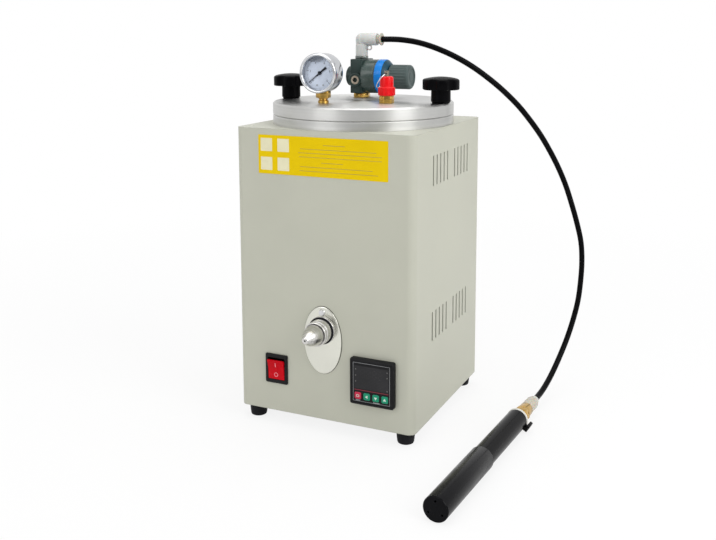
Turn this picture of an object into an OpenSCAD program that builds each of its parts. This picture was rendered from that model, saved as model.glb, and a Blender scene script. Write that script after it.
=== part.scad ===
// Bench-top wax injector for jewellery moulds: a heated, air-pressurised wax pot in a
// sheet-metal cabinet, with a spring-loaded nozzle in front and a hand pump on a hose.
// Millimetres. The origin is on the bench, under the middle of the cabinet.
// +Z is up and the nozzle, switch and controller face -Y.

/* [Cabinet] */
// Width of the cabinet, side to side
cab_w = 200; // [190:1:220]
// Depth of the cabinet, front to back
cab_d = 200; // [198:1:220]
// Height of the cabinet body above its feet
cab_h = 300; // [296:1:320]
// Outside radius of the cabinet's upright corners
corner_r = 8; // [3:0.5:14]
// Thickness of the sheet metal
sheet_t = 1.5; // [1:0.1:2]
// Height of the rubber feet
foot_h = 14; // [10:0.5:18]
// Distance of each foot's centre from the cabinet's sides
foot_inset = 14; // [11:0.5:20]
// Length of a vent slot
vent_len = 30.5; // [20:0.5:36]
// Distance between neighbouring vent slots
vent_pitch = 10.4; // [8:0.1:11]

/* [Wax pot and lid] */
// Outside radius of the pot's flange and of the lid
lid_r = 97.5; // [95:0.5:98.5]
// Height of the pot's flange above the cabinet's top
flange_h = 9.5; // [8:0.5:12]
// Inside radius of the pot
pot_r = 75; // [70:0.5:76]
// Height of the pot's inside floor above the bench
pot_floor_z = 96; // [94:0.5:98]
// Thickness of the lid
lid_h = 13.1; // [11:0.1:15]
// Distance of each hold-down knob from the lid's centre
knob_reach = 89; // [87:0.5:90]
// Radius of a knob's head over its lobes
knob_r = 19.6; // [16:0.2:22]
// Number of lobes on a knob's head
knob_lobes = 6; // [5:1:7]

/* [Nozzle] */
// Height of the nozzle's axis above the bench
nozzle_z = 110; // [109:0.5:112]
// How far the nozzle's tip stands in front of the cabinet
nozzle_reach = 39.5; // [36:0.5:44]
// Radius of the nozzle's outer collar
collar_r = 12.5; // [11.5:0.1:13]
// Radius of the hole that the wax leaves by
orifice_r = 0.9; // [0.6:0.1:1.2]
// Width of the oval splash plate
plate_w = 43; // [40:0.5:46]
// Height of the oval splash plate
plate_h = 71; // [66:0.5:74]

/* [Controls] */
// Side of the controller's square front
control_size = 48; // [48:1:48]
// Position of the controller's centre along the front
control_x = 56.8; // [54:0.1:60]
// Height of the controller's centre above the bench
control_z = 63.5; // [62:0.1:65]
// Position of the power switch's centre along the front
switch_x = -54.5; // [-60:0.1:-50]
// Height of the power switch's centre above the bench
switch_z = 60.2; // [56:0.1:64]
// Width of the yellow sticker
sticker_w = 145; // [120:1:150]
// Height of the yellow sticker
sticker_h = 40; // [30:1:42]

/* [Fittings on the lid] */
// Pressure gauge's stem: position across the lid
gauge_x = -26; // [-28:0.5:-24]
// Pressure gauge's stem: position front to back
gauge_y = -44; // [-46:0.5:-42]
// Diameter of the pressure gauge over its rim
gauge_d = 42; // [39:0.5:43]
// Depth of the pressure gauge's case
gauge_depth = 22.5; // [18:0.5:24]
// Regulator's inlet and outlet: position across the lid
reg_x = -22; // [-22:1:-22]
// Regulator's inlet and outlet: position front to back
reg_y = 44; // [44:1:44]
// Radius of the regulator's coloured ring
reg_ring_r = 19.2; // [18:0.2:19.4]
// Radius of the regulator's knob
reg_knob_r = 13.5; // [12:0.2:14.5]
// Relief valve: position across the lid
relief_x = 37; // [35:0.5:39]
// Relief valve: position front to back
relief_y = -22; // [-24:0.5:-18]

/* [Hose and hand pump] */
// Outside diameter of the air hose
hose_d = 6.4; // [6.4:0.1:6.4]
// Outside diameter of the pump's barrel
barrel_d = 21.8; // [20:0.2:22]
// Outside diameter of the pump's sliding grip
grip_d = 24; // [24:1:24]
// Length of the pump's barrel
barrel_len = 192; // [180:1:194]
// Angle between the pump and the cabinet's sides, in degrees
pump_turn = 3.5; // [3.5:0.5:3.5]

/* [Hidden] */
$fn = 64;
eps = 0.01;
slide_gap = 0.1;

cab_z = foot_h;
cab_top = foot_h + cab_h;
front_y = -cab_d / 2;
back_y = cab_d / 2;
foot_x = cab_w / 2 - foot_inset;
foot_y = cab_d / 2 - foot_inset;
foot_top_r = 9.5;
foot_base_r = 8.5;
screw_r = 2;
screw_head_r = 3.6;

// Vents: two rows on each side, each row in two groups of five slots
vent_w = 3;
vent_count = 5;
vent_rows = [111.7, 273.2];
vent_groups = [-28.6, 34.8];

// Rear service opening and its cover
cover_w = 176;
cover_h = 266;
cover_z = 162;
cover_t = 1.2;
cover_lap = 8;

// Pot, flange, lid
pot_wall = 3;
pot_out_r = pot_r + pot_wall;
pot_bottom_z = pot_floor_z - 4;
flange_top = cab_top + flange_h;
seal_r = 82;
seal_wire_r = 1.6;
lid_gap = 0.2;
lid_z = flange_top + lid_gap;
lid_top = lid_z + lid_h;
lid_spigot_r = pot_r - 1;
lid_spigot_h = 4;
stud_r = 4;
stud_hole_r = stud_r + 0.05;
tank_screw_reach = 89;
tank_screw_r = 2.5;

// Knobs: washer, hub, head
washer_t = 1.2;
washer_r = 9.4;
hub_z = lid_top + 0.2 + washer_t;
hub_r = 10.3;
head_z = lid_top + 14.3;
head_h = 10.6;
dome_h = 3;

// Nozzle, along -Y from the front of the cabinet
plate_t = 1.5;
plate_z = 99;
valve_face_y = front_y - 18;
tip_bore_r = 6;
cup_r = collar_r - 1.6;
cup_depth = 5.5;
shank_end_y = front_y + 3;
spring_seat_y = front_y + 9;
boss_r = 14;
boss_y = -90;
wax_bore_r = 3;

// Controller front, measured from its centre
bezel_y = front_y - 6.5;
key_size = 7.2;
key_x = [-14.7, -4.9, 4.9, 14.7];
key_z = -14.3;
window_w = 38;
window_h = 24;
window_z = 5;

// Gauge
gauge_r = gauge_d / 2;
gauge_case_r = gauge_r - 0.5;
gauge_z = lid_top + 31.8;
gauge_front_y = gauge_y - 14.5;
gauge_back_y = gauge_front_y + gauge_depth;
dial_y = gauge_front_y + 7.5;
needle_angle = 218;

// Regulator: an upright block, and the bonnet, ring and knob that lie along X
reg_z = lid_top + 24.4;
reg_axis_z = reg_z - 0.6;
reg_boss_z = reg_z - 4;
reg_h = 38;
reg_block_w = 14;
reg_block_d = 32;
reg_bonnet_r = 18.9;
reg_bonnet_end = 0.6;
reg_ring_end = 9.3;
reg_shoulder_end = 14;
reg_knob_start = 15;
reg_knob_end = 38.5;
reg_screw_r = 4;
reg_port_r = 6.4;

// Relief valve
relief_hex = 14;
relief_cap_z = lid_top + 8.2;
relief_step_z = lid_top + 17.2;
relief_top_z = lid_top + 28.2;
relief_eye_z = lid_top + 30.8;
pull_ring_r = 9;
pull_wire_r = 0.7;
pull_lean = 55;

// Elbow push fitting
elbow_z = 402;
elbow_r = 6.9;
elbow_end_x = -2.6;
elbow_swivel_z = 396.4;
elbow_base_z = reg_z + reg_h / 2;
hose_start_x = 3;

// Pump, measured along its own axis from the head towards the grip
pump_tip = [184, 45, 12];
pump_fittings = 55;
grip_start = 102;
grip_end = 207;
pump_cap_t = 4;
head_ring_t = 3.4;
barrel_bore_r = 9;
rod_r = 4;

// The hose from the elbow to the pump, end to end, as it stands beside the cabinet
hose_route = [
    [3, 44, 402], [10, 44, 402], [16, 44, 402], [27, 44.7, 401.4], [43, 47, 399],
    [61, 52, 393.5], [80, 61, 384.5], [98, 71, 373], [114, 82, 359.5], [128, 94, 345],
    [142, 106, 328], [153, 117, 311], [163, 128, 293], [172, 139, 273], [180, 148, 253],
    [187, 156, 232], [193, 162, 210], [199, 166, 187], [204, 168, 164], [206, 167, 141],
    [206, 163, 118], [205, 156, 96], [202, 146, 75], [198, 133, 55], [193.5, 117, 37.5],
    [190, 101, 25], [187.4, 85, 17], [185.8, 70, 13.2], [184.7342, 57.0022, 12],
    [184.367, 51, 12], [184, 45, 12]
];
hose_sides = 12;
hose_steps = 2;

// ---- helpers -------------------------------------------------------------------------

// A flat rectangle with round corners, centred
module round_rect(w, d, r) {
    square([w - 2 * r, d], center = true);
    square([w, d - 2 * r], center = true);
    for (sx = [-1, 1], sy = [-1, 1])
        translate([sx * (w / 2 - r), sy * (d / 2 - r)]) circle(r);
}

// Hexagonal bar along Z, measured across its flats
module hex_bar(across, h) {
    cylinder(r = across / 2 / cos(30), h = h, $fn = 6);
}

// Turns its children so that their Z axis points along -Y, +Y or +X
module facing_front() {
    rotate([90, 0, 0]) children();
}
module facing_back() {
    rotate([-90, 0, 0]) children();
}
module facing_right() {
    rotate([0, 90, 0]) children();
}

// Puts its children on the pump's axis, which then runs along their Z towards the grip
module on_pump_axis() {
    translate(pump_tip) rotate([0, 0, -pump_turn]) facing_front()
        translate([0, 0, pump_fittings]) children();
}

// Pan-head screw: the head sits above z = 0 and the shank below it
module pan_screw(length) {
    cylinder(r1 = screw_head_r, r2 = screw_head_r - 0.8, h = 2);
    translate([0, 0, -length]) cylinder(r = screw_r, h = length);
}

module at_feet(z) {
    for (sx = [-1, 1], sy = [-1, 1]) translate([sx * foot_x, sy * foot_y, z]) children();
}

module at_cover_screws() {
    for (sx = [-1, 1], dz = [-1, 0, 1])
        translate([sx * (cover_w / 2 - 4), back_y, cover_z + dz * (cover_h / 2 - 4)]) children();
}

module at_pot_screws(z) {
    for (a = [45 : 90 : 315])
        rotate([0, 0, a]) translate([tank_screw_reach, 0, z]) children();
}

// ---- cabinet -------------------------------------------------------------------------

module vent_slots() {
    for (z = vent_rows, y = vent_groups, i = [0 : vent_count - 1])
        translate([0, y + (i - (vent_count - 1) / 2) * vent_pitch, z])
            cube([cab_w + 2, vent_w, vent_len], center = true);
}

module cabinet_shell() {
    inside_w = cab_w - 2 * sheet_t;
    inside_d = cab_d - 2 * sheet_t;
    color([0.72, 0.72, 0.67]) difference() {
        translate([0, 0, cab_z]) linear_extrude(cab_h) round_rect(cab_w, cab_d, corner_r);
        translate([0, 0, cab_z - 1]) linear_extrude(cab_h - sheet_t + 1)
            round_rect(inside_w, inside_d, corner_r - sheet_t);
        // hole for the pot, and the holes of its four screws
        translate([0, 0, cab_top - sheet_t - 1]) cylinder(r = pot_out_r + 1, h = sheet_t + 2);
        at_pot_screws(cab_top - sheet_t - 1) cylinder(r = tank_screw_r + 0.05, h = sheet_t + 2);
        vent_slots();
        // nozzle, splash plate screw, switch and controller, all in front
        translate([0, front_y + 5, nozzle_z]) facing_front() cylinder(r = 10.1, h = 10);
        translate([0, front_y + 5, plate_z + 29.5]) facing_front()
            cylinder(r = screw_r + 0.05, h = 10);
        translate([switch_x, front_y, switch_z]) cube([21.2, 8, 27.2], center = true);
        translate([control_x, front_y, control_z]) cube([45.2, 8, 45.2], center = true);
        // service opening at the back, its screw holes and the hole behind the mains inlet
        translate([0, back_y, cover_z])
            cube([cover_w - 2 * cover_lap, 8, cover_h - 2 * cover_lap], center = true);
        at_cover_screws() facing_front() translate([0, 0, -5])
            cylinder(r = screw_r + 0.05, h = 10);
    }
}

module bottom_plate() {
    color([0.7, 0.71, 0.72]) difference() {
        translate([0, 0, cab_z]) linear_extrude(sheet_t)
            round_rect(cab_w - 2 * sheet_t - 0.2, cab_d - 2 * sheet_t - 0.2, corner_r - sheet_t);
        at_feet(cab_z - 1) cylinder(r = screw_r + 0.05, h = sheet_t + 2);
        for (i = [-3 : 3])
            translate([0, i * vent_pitch, cab_z]) cube([60, vent_w, 8], center = true);
    }
}

module rear_cover() {
    color([0.72, 0.72, 0.67]) difference() {
        translate([-cover_w / 2, back_y, cover_z - cover_h / 2]) cube([cover_w, cover_t, cover_h]);
        at_cover_screws() facing_front() translate([0, 0, -5])
            cylinder(r = screw_r + 0.05, h = 10);
        translate([inlet_x, back_y, inlet_z]) cube([28.2, 8, 21.2], center = true);
        for (side = [-1, 1])
            translate([inlet_x + side * 20, back_y + 5, inlet_z]) facing_front()
                cylinder(r = screw_r + 0.05, h = 10);
        for (row = [0, 1], i = [-4 : 4])
            translate([i * vent_pitch, back_y, 150 + row * 90])
                cube([vent_w, 8, vent_len], center = true);
    }
}

// Pan-head screws: six in the rear cover, two in the mains inlet, one in the splash plate
// and one up through each foot
module case_screws() {
    color([0.75, 0.76, 0.78]) {
        translate([0, front_y - plate_t, plate_z + 29.5]) facing_front() pan_screw(9);
        at_cover_screws() facing_back() translate([0, 0, cover_t]) pan_screw(8);
        for (side = [-1, 1])
            translate([inlet_x + side * 20, back_y + cover_t + 2.5, inlet_z])
                facing_back() pan_screw(8);
        at_feet(foot_recess) rotate([180, 0, 0]) pan_screw(cab_z - foot_recess + 6);
    }
}
foot_recess = 5;

module rubber_feet() {
    color([0.06, 0.06, 0.06]) at_feet(0) difference() {
        cylinder(r1 = foot_base_r, r2 = foot_top_r, h = foot_h);
        translate([0, 0, -1]) cylinder(r = screw_head_r + 0.6, h = foot_recess + 1);
        translate([0, 0, -1]) cylinder(r = screw_r + 0.05, h = foot_h + 2);
    }
}

module front_sticker() {
    color([0.89, 0.76, 0.06])
        translate([-sticker_w / 2, front_y - 0.3, 267.5]) cube([sticker_w, 0.3, sticker_h]);
}

// ---- wax pot and what is on it -------------------------------------------------------

module wax_pot() {
    color([0.8, 0.81, 0.82]) difference() {
        union() {
            translate([0, 0, pot_bottom_z]) cylinder(r = pot_out_r, h = flange_top - pot_bottom_z,
                $fn = 96);
            translate([0, 0, cab_top]) cylinder(r = lid_r, h = flange_h - 0.8, $fn = 96);
            translate([0, 0, flange_top - 0.8]) cylinder(r1 = lid_r, r2 = lid_r - 0.8, h = 0.8,
                $fn = 96);
            // boss that takes the nozzle's thread
            translate([0, -60, nozzle_z]) facing_front() cylinder(r = boss_r, h = -60 - boss_y);
        }
        translate([0, 0, pot_floor_z]) cylinder(r = pot_r, h = 400, $fn = 96);
        translate([0, -60, nozzle_z]) facing_front() cylinder(r = 8.05, h = 60);
        // threaded hole for the temperature probe
        translate([0, 60, pot_floor_z + 8]) facing_back() cylinder(r = 3.05, h = 40);
        // seal groove, stud threads and screw holes in the flange
        difference() {
            translate([0, 0, flange_top - 3]) cylinder(r = seal_r + 2, h = 5, $fn = 96);
            translate([0, 0, flange_top - 4]) cylinder(r = seal_r - 2, h = 7, $fn = 96);
        }
        for (side = [-1, 1])
            translate([side * knob_reach, 0, cab_top - 1]) cylinder(r = stud_hole_r, h = 20);
        at_pot_screws(cab_top - 1) cylinder(r = tank_screw_r + 0.05, h = 20);
        at_pot_screws(flange_top - 3.1) cylinder(r = 4.6, h = 10);
    }
}

module pot_screws() {
    color([0.75, 0.76, 0.78]) at_pot_screws(0) {
        translate([0, 0, cab_top - 6]) cylinder(r = tank_screw_r, h = flange_h + 3);
        translate([0, 0, flange_top - 3]) cylinder(r = 4.5, h = 2.8);
    }
}

module heater_band() {
    color([0.62, 0.6, 0.56]) difference() {
        union() {
            translate([0, 0, 127]) cylinder(r = pot_out_r + 3, h = 42, $fn = 96);
            translate([-9, pot_out_r - 2, 127]) cube([18, 14, 42]);
        }
        translate([0, 0, 126]) cylinder(r = pot_out_r + 0.1, h = 44, $fn = 96);
        translate([-2, 60, 126]) cube([4, 40, 44]);
    }
}

module insulation_jacket() {
    color([0.86, 0.84, 0.76]) difference() {
        translate([0, 0, 174]) cylinder(r = pot_out_r + 12, h = 132, $fn = 96);
        translate([0, 0, 173]) cylinder(r = pot_out_r + 0.3, h = 134, $fn = 96);
    }
}

module temperature_probe() {
    color([0.78, 0.79, 0.8]) translate([0, 0, pot_floor_z + 8]) {
        translate([0, 62, 0]) facing_back() cylinder(r = 3, h = 20);
        translate([0, pot_out_r, 0]) facing_back() hex_bar(9, 5);
        translate([0, pot_out_r + 5, 0]) facing_back() cylinder(r = 2.4, h = 8);
    }
}

module lid_seal() {
    color([0.1, 0.1, 0.1]) translate([0, 0, flange_top - 3 + seal_wire_r])
        rotate_extrude($fn = 96) translate([seal_r, 0]) circle(seal_wire_r, $fn = 24);
}

// ---- nozzle --------------------------------------------------------------------------

module splash_plate() {
    color([0.86, 0.87, 0.88]) difference() {
        translate([0, front_y, plate_z]) facing_front() linear_extrude(plate_t)
            polygon([for (a = [0 : 5 : 355]) [plate_w / 2 * cos(a), plate_h / 2 * sin(a)]]);
        translate([0, front_y + 5, nozzle_z]) facing_front() cylinder(r = 10.05, h = 10);
        translate([0, front_y + 5, plate_z + 29.5]) facing_front()
            cylinder(r = screw_r + 0.05, h = 10);
    }
}

// Valve body: flange, ringed collar, and the threaded pipe that runs back into the pot's boss
module nozzle_valve() {
    color([0.88, 0.89, 0.9]) translate([0, 0, nozzle_z]) difference() {
        union() {
            translate([0, front_y - plate_t, 0]) facing_front() cylinder(r = 14.5, h = 2.2);
            translate([0, front_y - 3.5, 0]) facing_front() cylinder(r = collar_r, h = 9.5);
            translate([0, front_y - 13, 0]) facing_front() cylinder(r = collar_r - 1.2, h = 1.6);
            translate([0, valve_face_y + 3.5, 0]) facing_front() cylinder(r = collar_r, h = 3.5);
            translate([0, front_y + 10, 0]) facing_front() cylinder(r = 10, h = 11.5);
            translate([0, -77, 0]) facing_front() cylinder(r = 8, h = 14);
        }
        translate([0, valve_face_y + cup_depth, 0]) facing_front() cylinder(r = cup_r, h = 10);
        translate([0, spring_seat_y, 0]) facing_front() cylinder(r = tip_bore_r, h = 40);
        translate([0, -70, 0]) facing_front() cylinder(r = wax_bore_r, h = 40);
    }
}

// The tip slides back against its spring when a mould is pressed on it, and lets the wax out
module nozzle_tip() {
    tip_y = front_y - nozzle_reach;
    base_y = valve_face_y + 0.6;
    color([0.9, 0.91, 0.92]) translate([0, 0, nozzle_z]) difference() {
        union() {
            translate([0, shank_end_y, 0]) facing_front()
                cylinder(r = tip_bore_r - slide_gap, h = shank_end_y - base_y + 1);
            translate([0, base_y, 0]) facing_front() rotate_extrude() polygon([
                [0, 0], [cup_r - 0.3, 0], [cup_r - 0.3, 3.4], [cup_r - 1.2, 8],
                [cup_r - 3, 13], [4.6, base_y - tip_y - 3], [3.3, base_y - tip_y - 0.6],
                [2.6, base_y - tip_y], [0, base_y - tip_y]
            ]);
        }
        translate([0, front_y + 20, 0]) facing_front() cylinder(r = orifice_r, h = 80);
        translate([0, front_y + 20, 0]) facing_front() cylinder(r = 2.2, h = 45);
    }
}

module nozzle_spring() {
    color([0.7, 0.7, 0.72]) translate([0, spring_seat_y - 0.05, nozzle_z]) facing_front()
        difference() {
            cylinder(r = 5.6, h = spring_seat_y - shank_end_y - 0.1);
            translate([0, 0, -1]) cylinder(r = 4.4, h = 20);
        }
}

// ---- switch and controller -----------------------------------------------------------

module switch_frame() {
    color([0.06, 0.06, 0.06]) translate([switch_x, 0, switch_z]) difference() {
        union() {
            translate([0, front_y, 0]) facing_front() linear_extrude(2)
                round_rect(26, 31.5, 1.2);
            translate([-10.5, front_y, -13.5]) cube([21, 22, 27]);
        }
        translate([-9.7, front_y - 5, -11.6]) cube([19.4, 15, 23.2]);
        translate([0, front_y + 21, 0]) cube([3, 4, 18], center = true);
        // holes for the rocker's pivots
        translate([-12, rocker_y, 0]) facing_right() cylinder(r = pivot_r + slide_gap, h = 24);
    }
}

// The rocker is drawn with its lower, "off" end pressed in
rocker_tilt = 8;
rocker_y = front_y + 1.5;
pivot_r = 1.5;
module switch_rocker() {
    color([0.8, 0.05, 0.08]) translate([switch_x, rocker_y, switch_z]) {
        translate([-10.4, 0, 0]) facing_right() cylinder(r = pivot_r, h = 20.8);
        rotate([rocker_tilt, 0, 0]) facing_right() translate([0, 0, -9.4])
            linear_extrude(18.8)
                polygon([
                    [-10.7, -5.2], [0, -4.2], [10.7, -5.2], [10.7, -3.2], [4, 4.5], [-4, 4.5],
                    [-10.7, -3.2]
                ]);
    }
}

module controller_case() {
    color([0.07, 0.07, 0.07]) translate([control_x, 0, control_z]) difference() {
        union() {
            translate([0, front_y, 0]) facing_front() linear_extrude(5.5)
                round_rect(control_size, control_size, 2);
            translate([0, front_y - 5.5, 0]) facing_front() linear_extrude(1)
                round_rect(control_size - 1.6, control_size - 1.6, 1.6);
            translate([-22.4, front_y, -22.4]) cube([44.8, 68, 44.8]);
        }
        translate([-21.4, bezel_y - 1, -21.4]) cube([42.8, 3, 42.8]);
        for (x = key_x)
            translate([x, bezel_y + 3, key_z]) cube([key_size + 0.4, 7, key_size + 0.4], center = true);
    }
}

module controller_face() {
    color([0.12, 0.12, 0.13]) translate([control_x, 0, control_z]) difference() {
        translate([-21.3, bezel_y + 0.6, -21.3]) cube([42.6, 1.4, 42.6]);
        translate([0, bezel_y, window_z]) cube([window_w, 8, window_h], center = true);
        for (x = key_x)
            translate([x, bezel_y, key_z]) cube([key_size + 0.4, 8, key_size + 0.4], center = true);
    }
}

module controller_window() {
    color([0.16, 0.16, 0.17]) translate([control_x, bezel_y + 1.25, control_z + window_z])
        cube([window_w - 0.1, 1.3, window_h - 0.1], center = true);
}

module key_cap(index) {
    translate([control_x + key_x[index], bezel_y + 1.8, control_z + key_z])
        facing_front() translate([0, 0, -1.8]) linear_extrude(3.8)
            round_rect(key_size, key_size, 1.4);
}
module set_key() {
    color([0.85, 0.2, 0.3]) key_cap(0);
}
module shift_key() {
    color([0.1, 0.62, 0.42]) key_cap(1);
}
module down_key() {
    color([0.1, 0.62, 0.42]) key_cap(2);
}
module up_key() {
    color([0.1, 0.62, 0.42]) key_cap(3);
}

// ---- electrical parts at the back ----------------------------------------------------
inlet_x = 50;
inlet_z = 62;

module mains_inlet() {
    color([0.07, 0.07, 0.07]) translate([inlet_x, back_y + cover_t, inlet_z]) {
        difference() {
            union() {
                translate([0, 0, 0]) facing_back() linear_extrude(2.5) round_rect(50, 23, 4);
                translate([-14, -20, -10.5]) cube([28, 20.5, 21]);
            }
            translate([-12, -14, -8.2]) cube([24, 30, 16.4]);
            for (side = [-1, 1])
                translate([side * 20, -5, 0]) facing_back() cylinder(r = screw_r + 0.05, h = 12);
        }
        for (p = [[-7, -2], [0, 3], [7, -2]])
            translate([p[0] - 1, -14.5, p[1] - 2]) cube([2, 7.5, 4]);
    }
}

module terminal_block() {
    color([0.9, 0.9, 0.86]) translate([-30, 20, cab_z + sheet_t]) difference() {
        cube([48, 20, 14]);
        for (i = [0 : 3])
            translate([6 + i * 12, 10, 6]) cylinder(r = 3.2, h = 20);
    }
}

// ---- lid and knobs -------------------------------------------------------------------

module pot_lid() {
    color([0.82, 0.83, 0.84]) difference() {
        union() {
            translate([0, 0, lid_z]) cylinder(r1 = lid_r - 0.8, r2 = lid_r, h = 0.8, $fn = 96);
            translate([0, 0, lid_z + 0.8]) cylinder(r = lid_r, h = lid_h - 2.3, $fn = 96);
            translate([0, 0, lid_top - 1.5]) cylinder(r1 = lid_r, r2 = lid_r - 1.5, h = 1.5,
                $fn = 96);
            translate([0, 0, lid_z - lid_spigot_h]) cylinder(r = lid_spigot_r,
                h = lid_spigot_h + 1, $fn = 96);
        }
        for (side = [-1, 1])
            translate([side * knob_reach, 0, lid_z - 1]) cylinder(r = stud_r + 0.5, h = 20);
        translate([gauge_x, gauge_y, lid_z - 10]) cylinder(r = 4.95, h = 40);
        translate([reg_x, reg_y, lid_z - 10]) cylinder(r = reg_port_r + 0.05, h = 40);
        translate([relief_x, relief_y, lid_z - 10]) cylinder(r = reg_port_r + 0.05, h = 40);
    }
}

module star_knob(side) {
    flute_r = knob_r * 0.34;
    translate([side * knob_reach, 0, 0]) difference() {
        union() {
            translate([0, 0, hub_z]) cylinder(r = hub_r, h = head_z - hub_z + 1);
            difference() {
                union() {
                    translate([0, 0, head_z]) cylinder(r = knob_r, h = head_h);
                    translate([0, 0, head_z + head_h - eps]) rotate_extrude() polygon([
                        [0, 0], [knob_r, 0], [knob_r * 0.8, dome_h * 0.45],
                        [knob_r * 0.5, dome_h * 0.8], [0, dome_h]
                    ]);
                }
                for (i = [0 : knob_lobes - 1])
                    rotate([0, 0, (i + 0.5) * 360 / knob_lobes - 65])
                        translate([knob_r + flute_r * 0.62, 0, head_z - 1])
                            cylinder(r = flute_r, h = head_h + dome_h + 2);
            }
        }
        translate([0, 0, hub_z - 1]) cylinder(r = stud_r + 0.02, h = 21);
    }
}
module left_knob() {
    color([0.05, 0.05, 0.05]) star_knob(-1);
}
module right_knob() {
    color([0.05, 0.05, 0.05]) star_knob(1);
}

// Threaded studs, drawn as plain rods at the thread's outside radius
module knob_stud(side) {
    translate([side * knob_reach, 0, cab_top + 1]) cylinder(r = stud_r, h = hub_z + 19 - cab_top);
}
module left_stud() {
    color([0.75, 0.76, 0.78]) knob_stud(-1);
}
module right_stud() {
    color([0.75, 0.76, 0.78]) knob_stud(1);
}

// Washers that the studs carry with them as they unscrew
module knob_washer(side) {
    translate([side * knob_reach, 0, lid_top + 0.1]) difference() {
        cylinder(r = washer_r, h = washer_t);
        translate([0, 0, -1]) cylinder(r = stud_r + slide_gap, h = washer_t + 2);
    }
}
module left_washer() {
    color([0.05, 0.05, 0.05]) knob_washer(-1);
}
module right_washer() {
    color([0.05, 0.05, 0.05]) knob_washer(1);
}

// ---- pressure gauge ------------------------------------------------------------------

module gauge_stem_shape() {
    translate([gauge_x, gauge_y, lid_z - 3]) cylinder(r = 4.9, h = lid_top - lid_z + 9);
    translate([gauge_x, gauge_y, lid_top + 5.4]) hex_bar(14, 8);
}

module gauge_stem() {
    color([0.78, 0.6, 0.24]) gauge_stem_shape();
}

module gauge_case() {
    color([0.82, 0.83, 0.85]) difference() {
        translate([gauge_x, gauge_back_y, gauge_z]) facing_front() union() {
            cylinder(r1 = gauge_case_r - 1.5, r2 = gauge_case_r, h = 1.5);
            translate([0, 0, 1.5]) cylinder(r = gauge_case_r, h = gauge_depth - 6.5);
        }
        translate([gauge_x, gauge_back_y - 2, gauge_z]) facing_front() cylinder(r = 18.4, h = 40);
        gauge_stem_shape();
    }
}

// Rim rolled over the window
module gauge_rim() {
    color([0.85, 0.86, 0.88]) translate([gauge_x, gauge_front_y + 5, gauge_z]) facing_front()
        difference() {
            union() {
                cylinder(r = gauge_r, h = 3.8);
                translate([0, 0, 3.8]) cylinder(r1 = gauge_r, r2 = gauge_r - 1.2, h = 1.2);
            }
            translate([0, 0, -1]) cylinder(r = 18.4, h = 4.5);
            translate([0, 0, 3]) cylinder(r = 17.6, h = 4);
        }
}

module gauge_dial() {
    color([0.85, 0.87, 0.9]) translate([gauge_x, dial_y + 0.8, gauge_z]) facing_front()
        difference() {
            cylinder(r = 18.3, h = 0.8);
            translate([0, 0, -1]) cylinder(r = 1, h = 3);
        }
}

// Needle with its counterweight, resting at the dial's zero; its spindle passes the dial
module gauge_needle() {
    color([0.05, 0.05, 0.08]) translate([gauge_x, dial_y - 0.6, gauge_z]) facing_front() {
        rotate([0, 0, needle_angle]) linear_extrude(0.6) {
            polygon([[-2, -0.9], [-2, 0.9], [16.4, 0.2], [16.4, -0.2]]);
            translate([-9.5, -1.3]) square([8, 2.6]);
            circle(2.2);
        }
        translate([0, 0, -5]) cylinder(r = 0.9, h = 5.2);
    }
}

module gauge_window() {
    color([0.8, 0.88, 0.9, 0.35]) translate([gauge_x, gauge_front_y + 3.9, gauge_z])
        facing_front() cylinder(r = 18.3, h = 1.8);
}

// ---- pressure regulator --------------------------------------------------------------

module regulator_body() {
    color([0.2, 0.26, 0.25]) difference() {
        union() {
            translate([reg_x, reg_y, reg_z])
                cube([reg_block_w, reg_block_d, reg_h], center = true);
            translate([reg_x, reg_y, reg_axis_z]) {
                translate([reg_block_w / 2 - 0.4, 0, 0]) facing_right() cylinder(
                    r = reg_bonnet_r, h = reg_bonnet_end - reg_x - reg_block_w / 2 + 0.4);
                translate([-reg_block_w / 2 - 8.5, 0, 0]) facing_right()
                    cylinder(r1 = 10, r2 = 11, h = 1);
                translate([-reg_block_w / 2 - 7.5, 0, 0]) facing_right()
                    cylinder(r = 11, h = 8.5);
            }
            // bosses for gauges, front and back
            translate([reg_x, reg_y + reg_block_d / 2 + 3.5, reg_boss_z]) facing_front()
                cylinder(r = 7.6, h = reg_block_d + 7);
        }
        translate([reg_x, reg_y, reg_z - 40]) cylinder(r = reg_port_r + 0.05, h = 29);
        translate([reg_x, reg_y, reg_z + 11]) cylinder(r = reg_port_r + 0.05, h = 40);
        translate([reg_x, reg_y, reg_z - 30]) cylinder(r = 3, h = 60);
        translate([-12, reg_y, reg_axis_z]) facing_right()
            cylinder(r = reg_screw_r + slide_gap, h = 40);
        for (turn = [0, 180])
            translate([reg_x, reg_y, reg_boss_z]) rotate([0, 0, turn])
                translate([0, -reg_block_d / 2 - 4, 0]) facing_back()
                    cylinder(r = 4.85, h = 7);
    }
}

// Plugs with a hexagonal socket in the two unused gauge ports
module regulator_plugs() {
    color([0.55, 0.54, 0.5])
        for (turn = [0, 180])
            translate([reg_x, reg_y, reg_boss_z]) rotate([0, 0, turn])
                translate([0, -reg_block_d / 2 - 2.8, 0]) facing_back() difference() {
                    cylinder(r = 4.8, h = 5.5);
                    translate([0, 0, -1]) hex_bar(5, 4);
                }
}

module regulator_ring() {
    color([0.12, 0.45, 0.85]) translate([0, reg_y, reg_axis_z]) facing_right() difference() {
        union() {
            translate([0, 0, reg_bonnet_end]) cylinder(r = reg_ring_r,
                h = reg_ring_end - reg_bonnet_end);
            translate([0, 0, reg_ring_end]) cylinder(r1 = reg_ring_r - 0.4, r2 = reg_knob_r + 0.6,
                h = reg_shoulder_end - reg_ring_end);
        }
        cylinder(r = reg_screw_r + 0.3, h = 40);
    }
}

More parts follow.
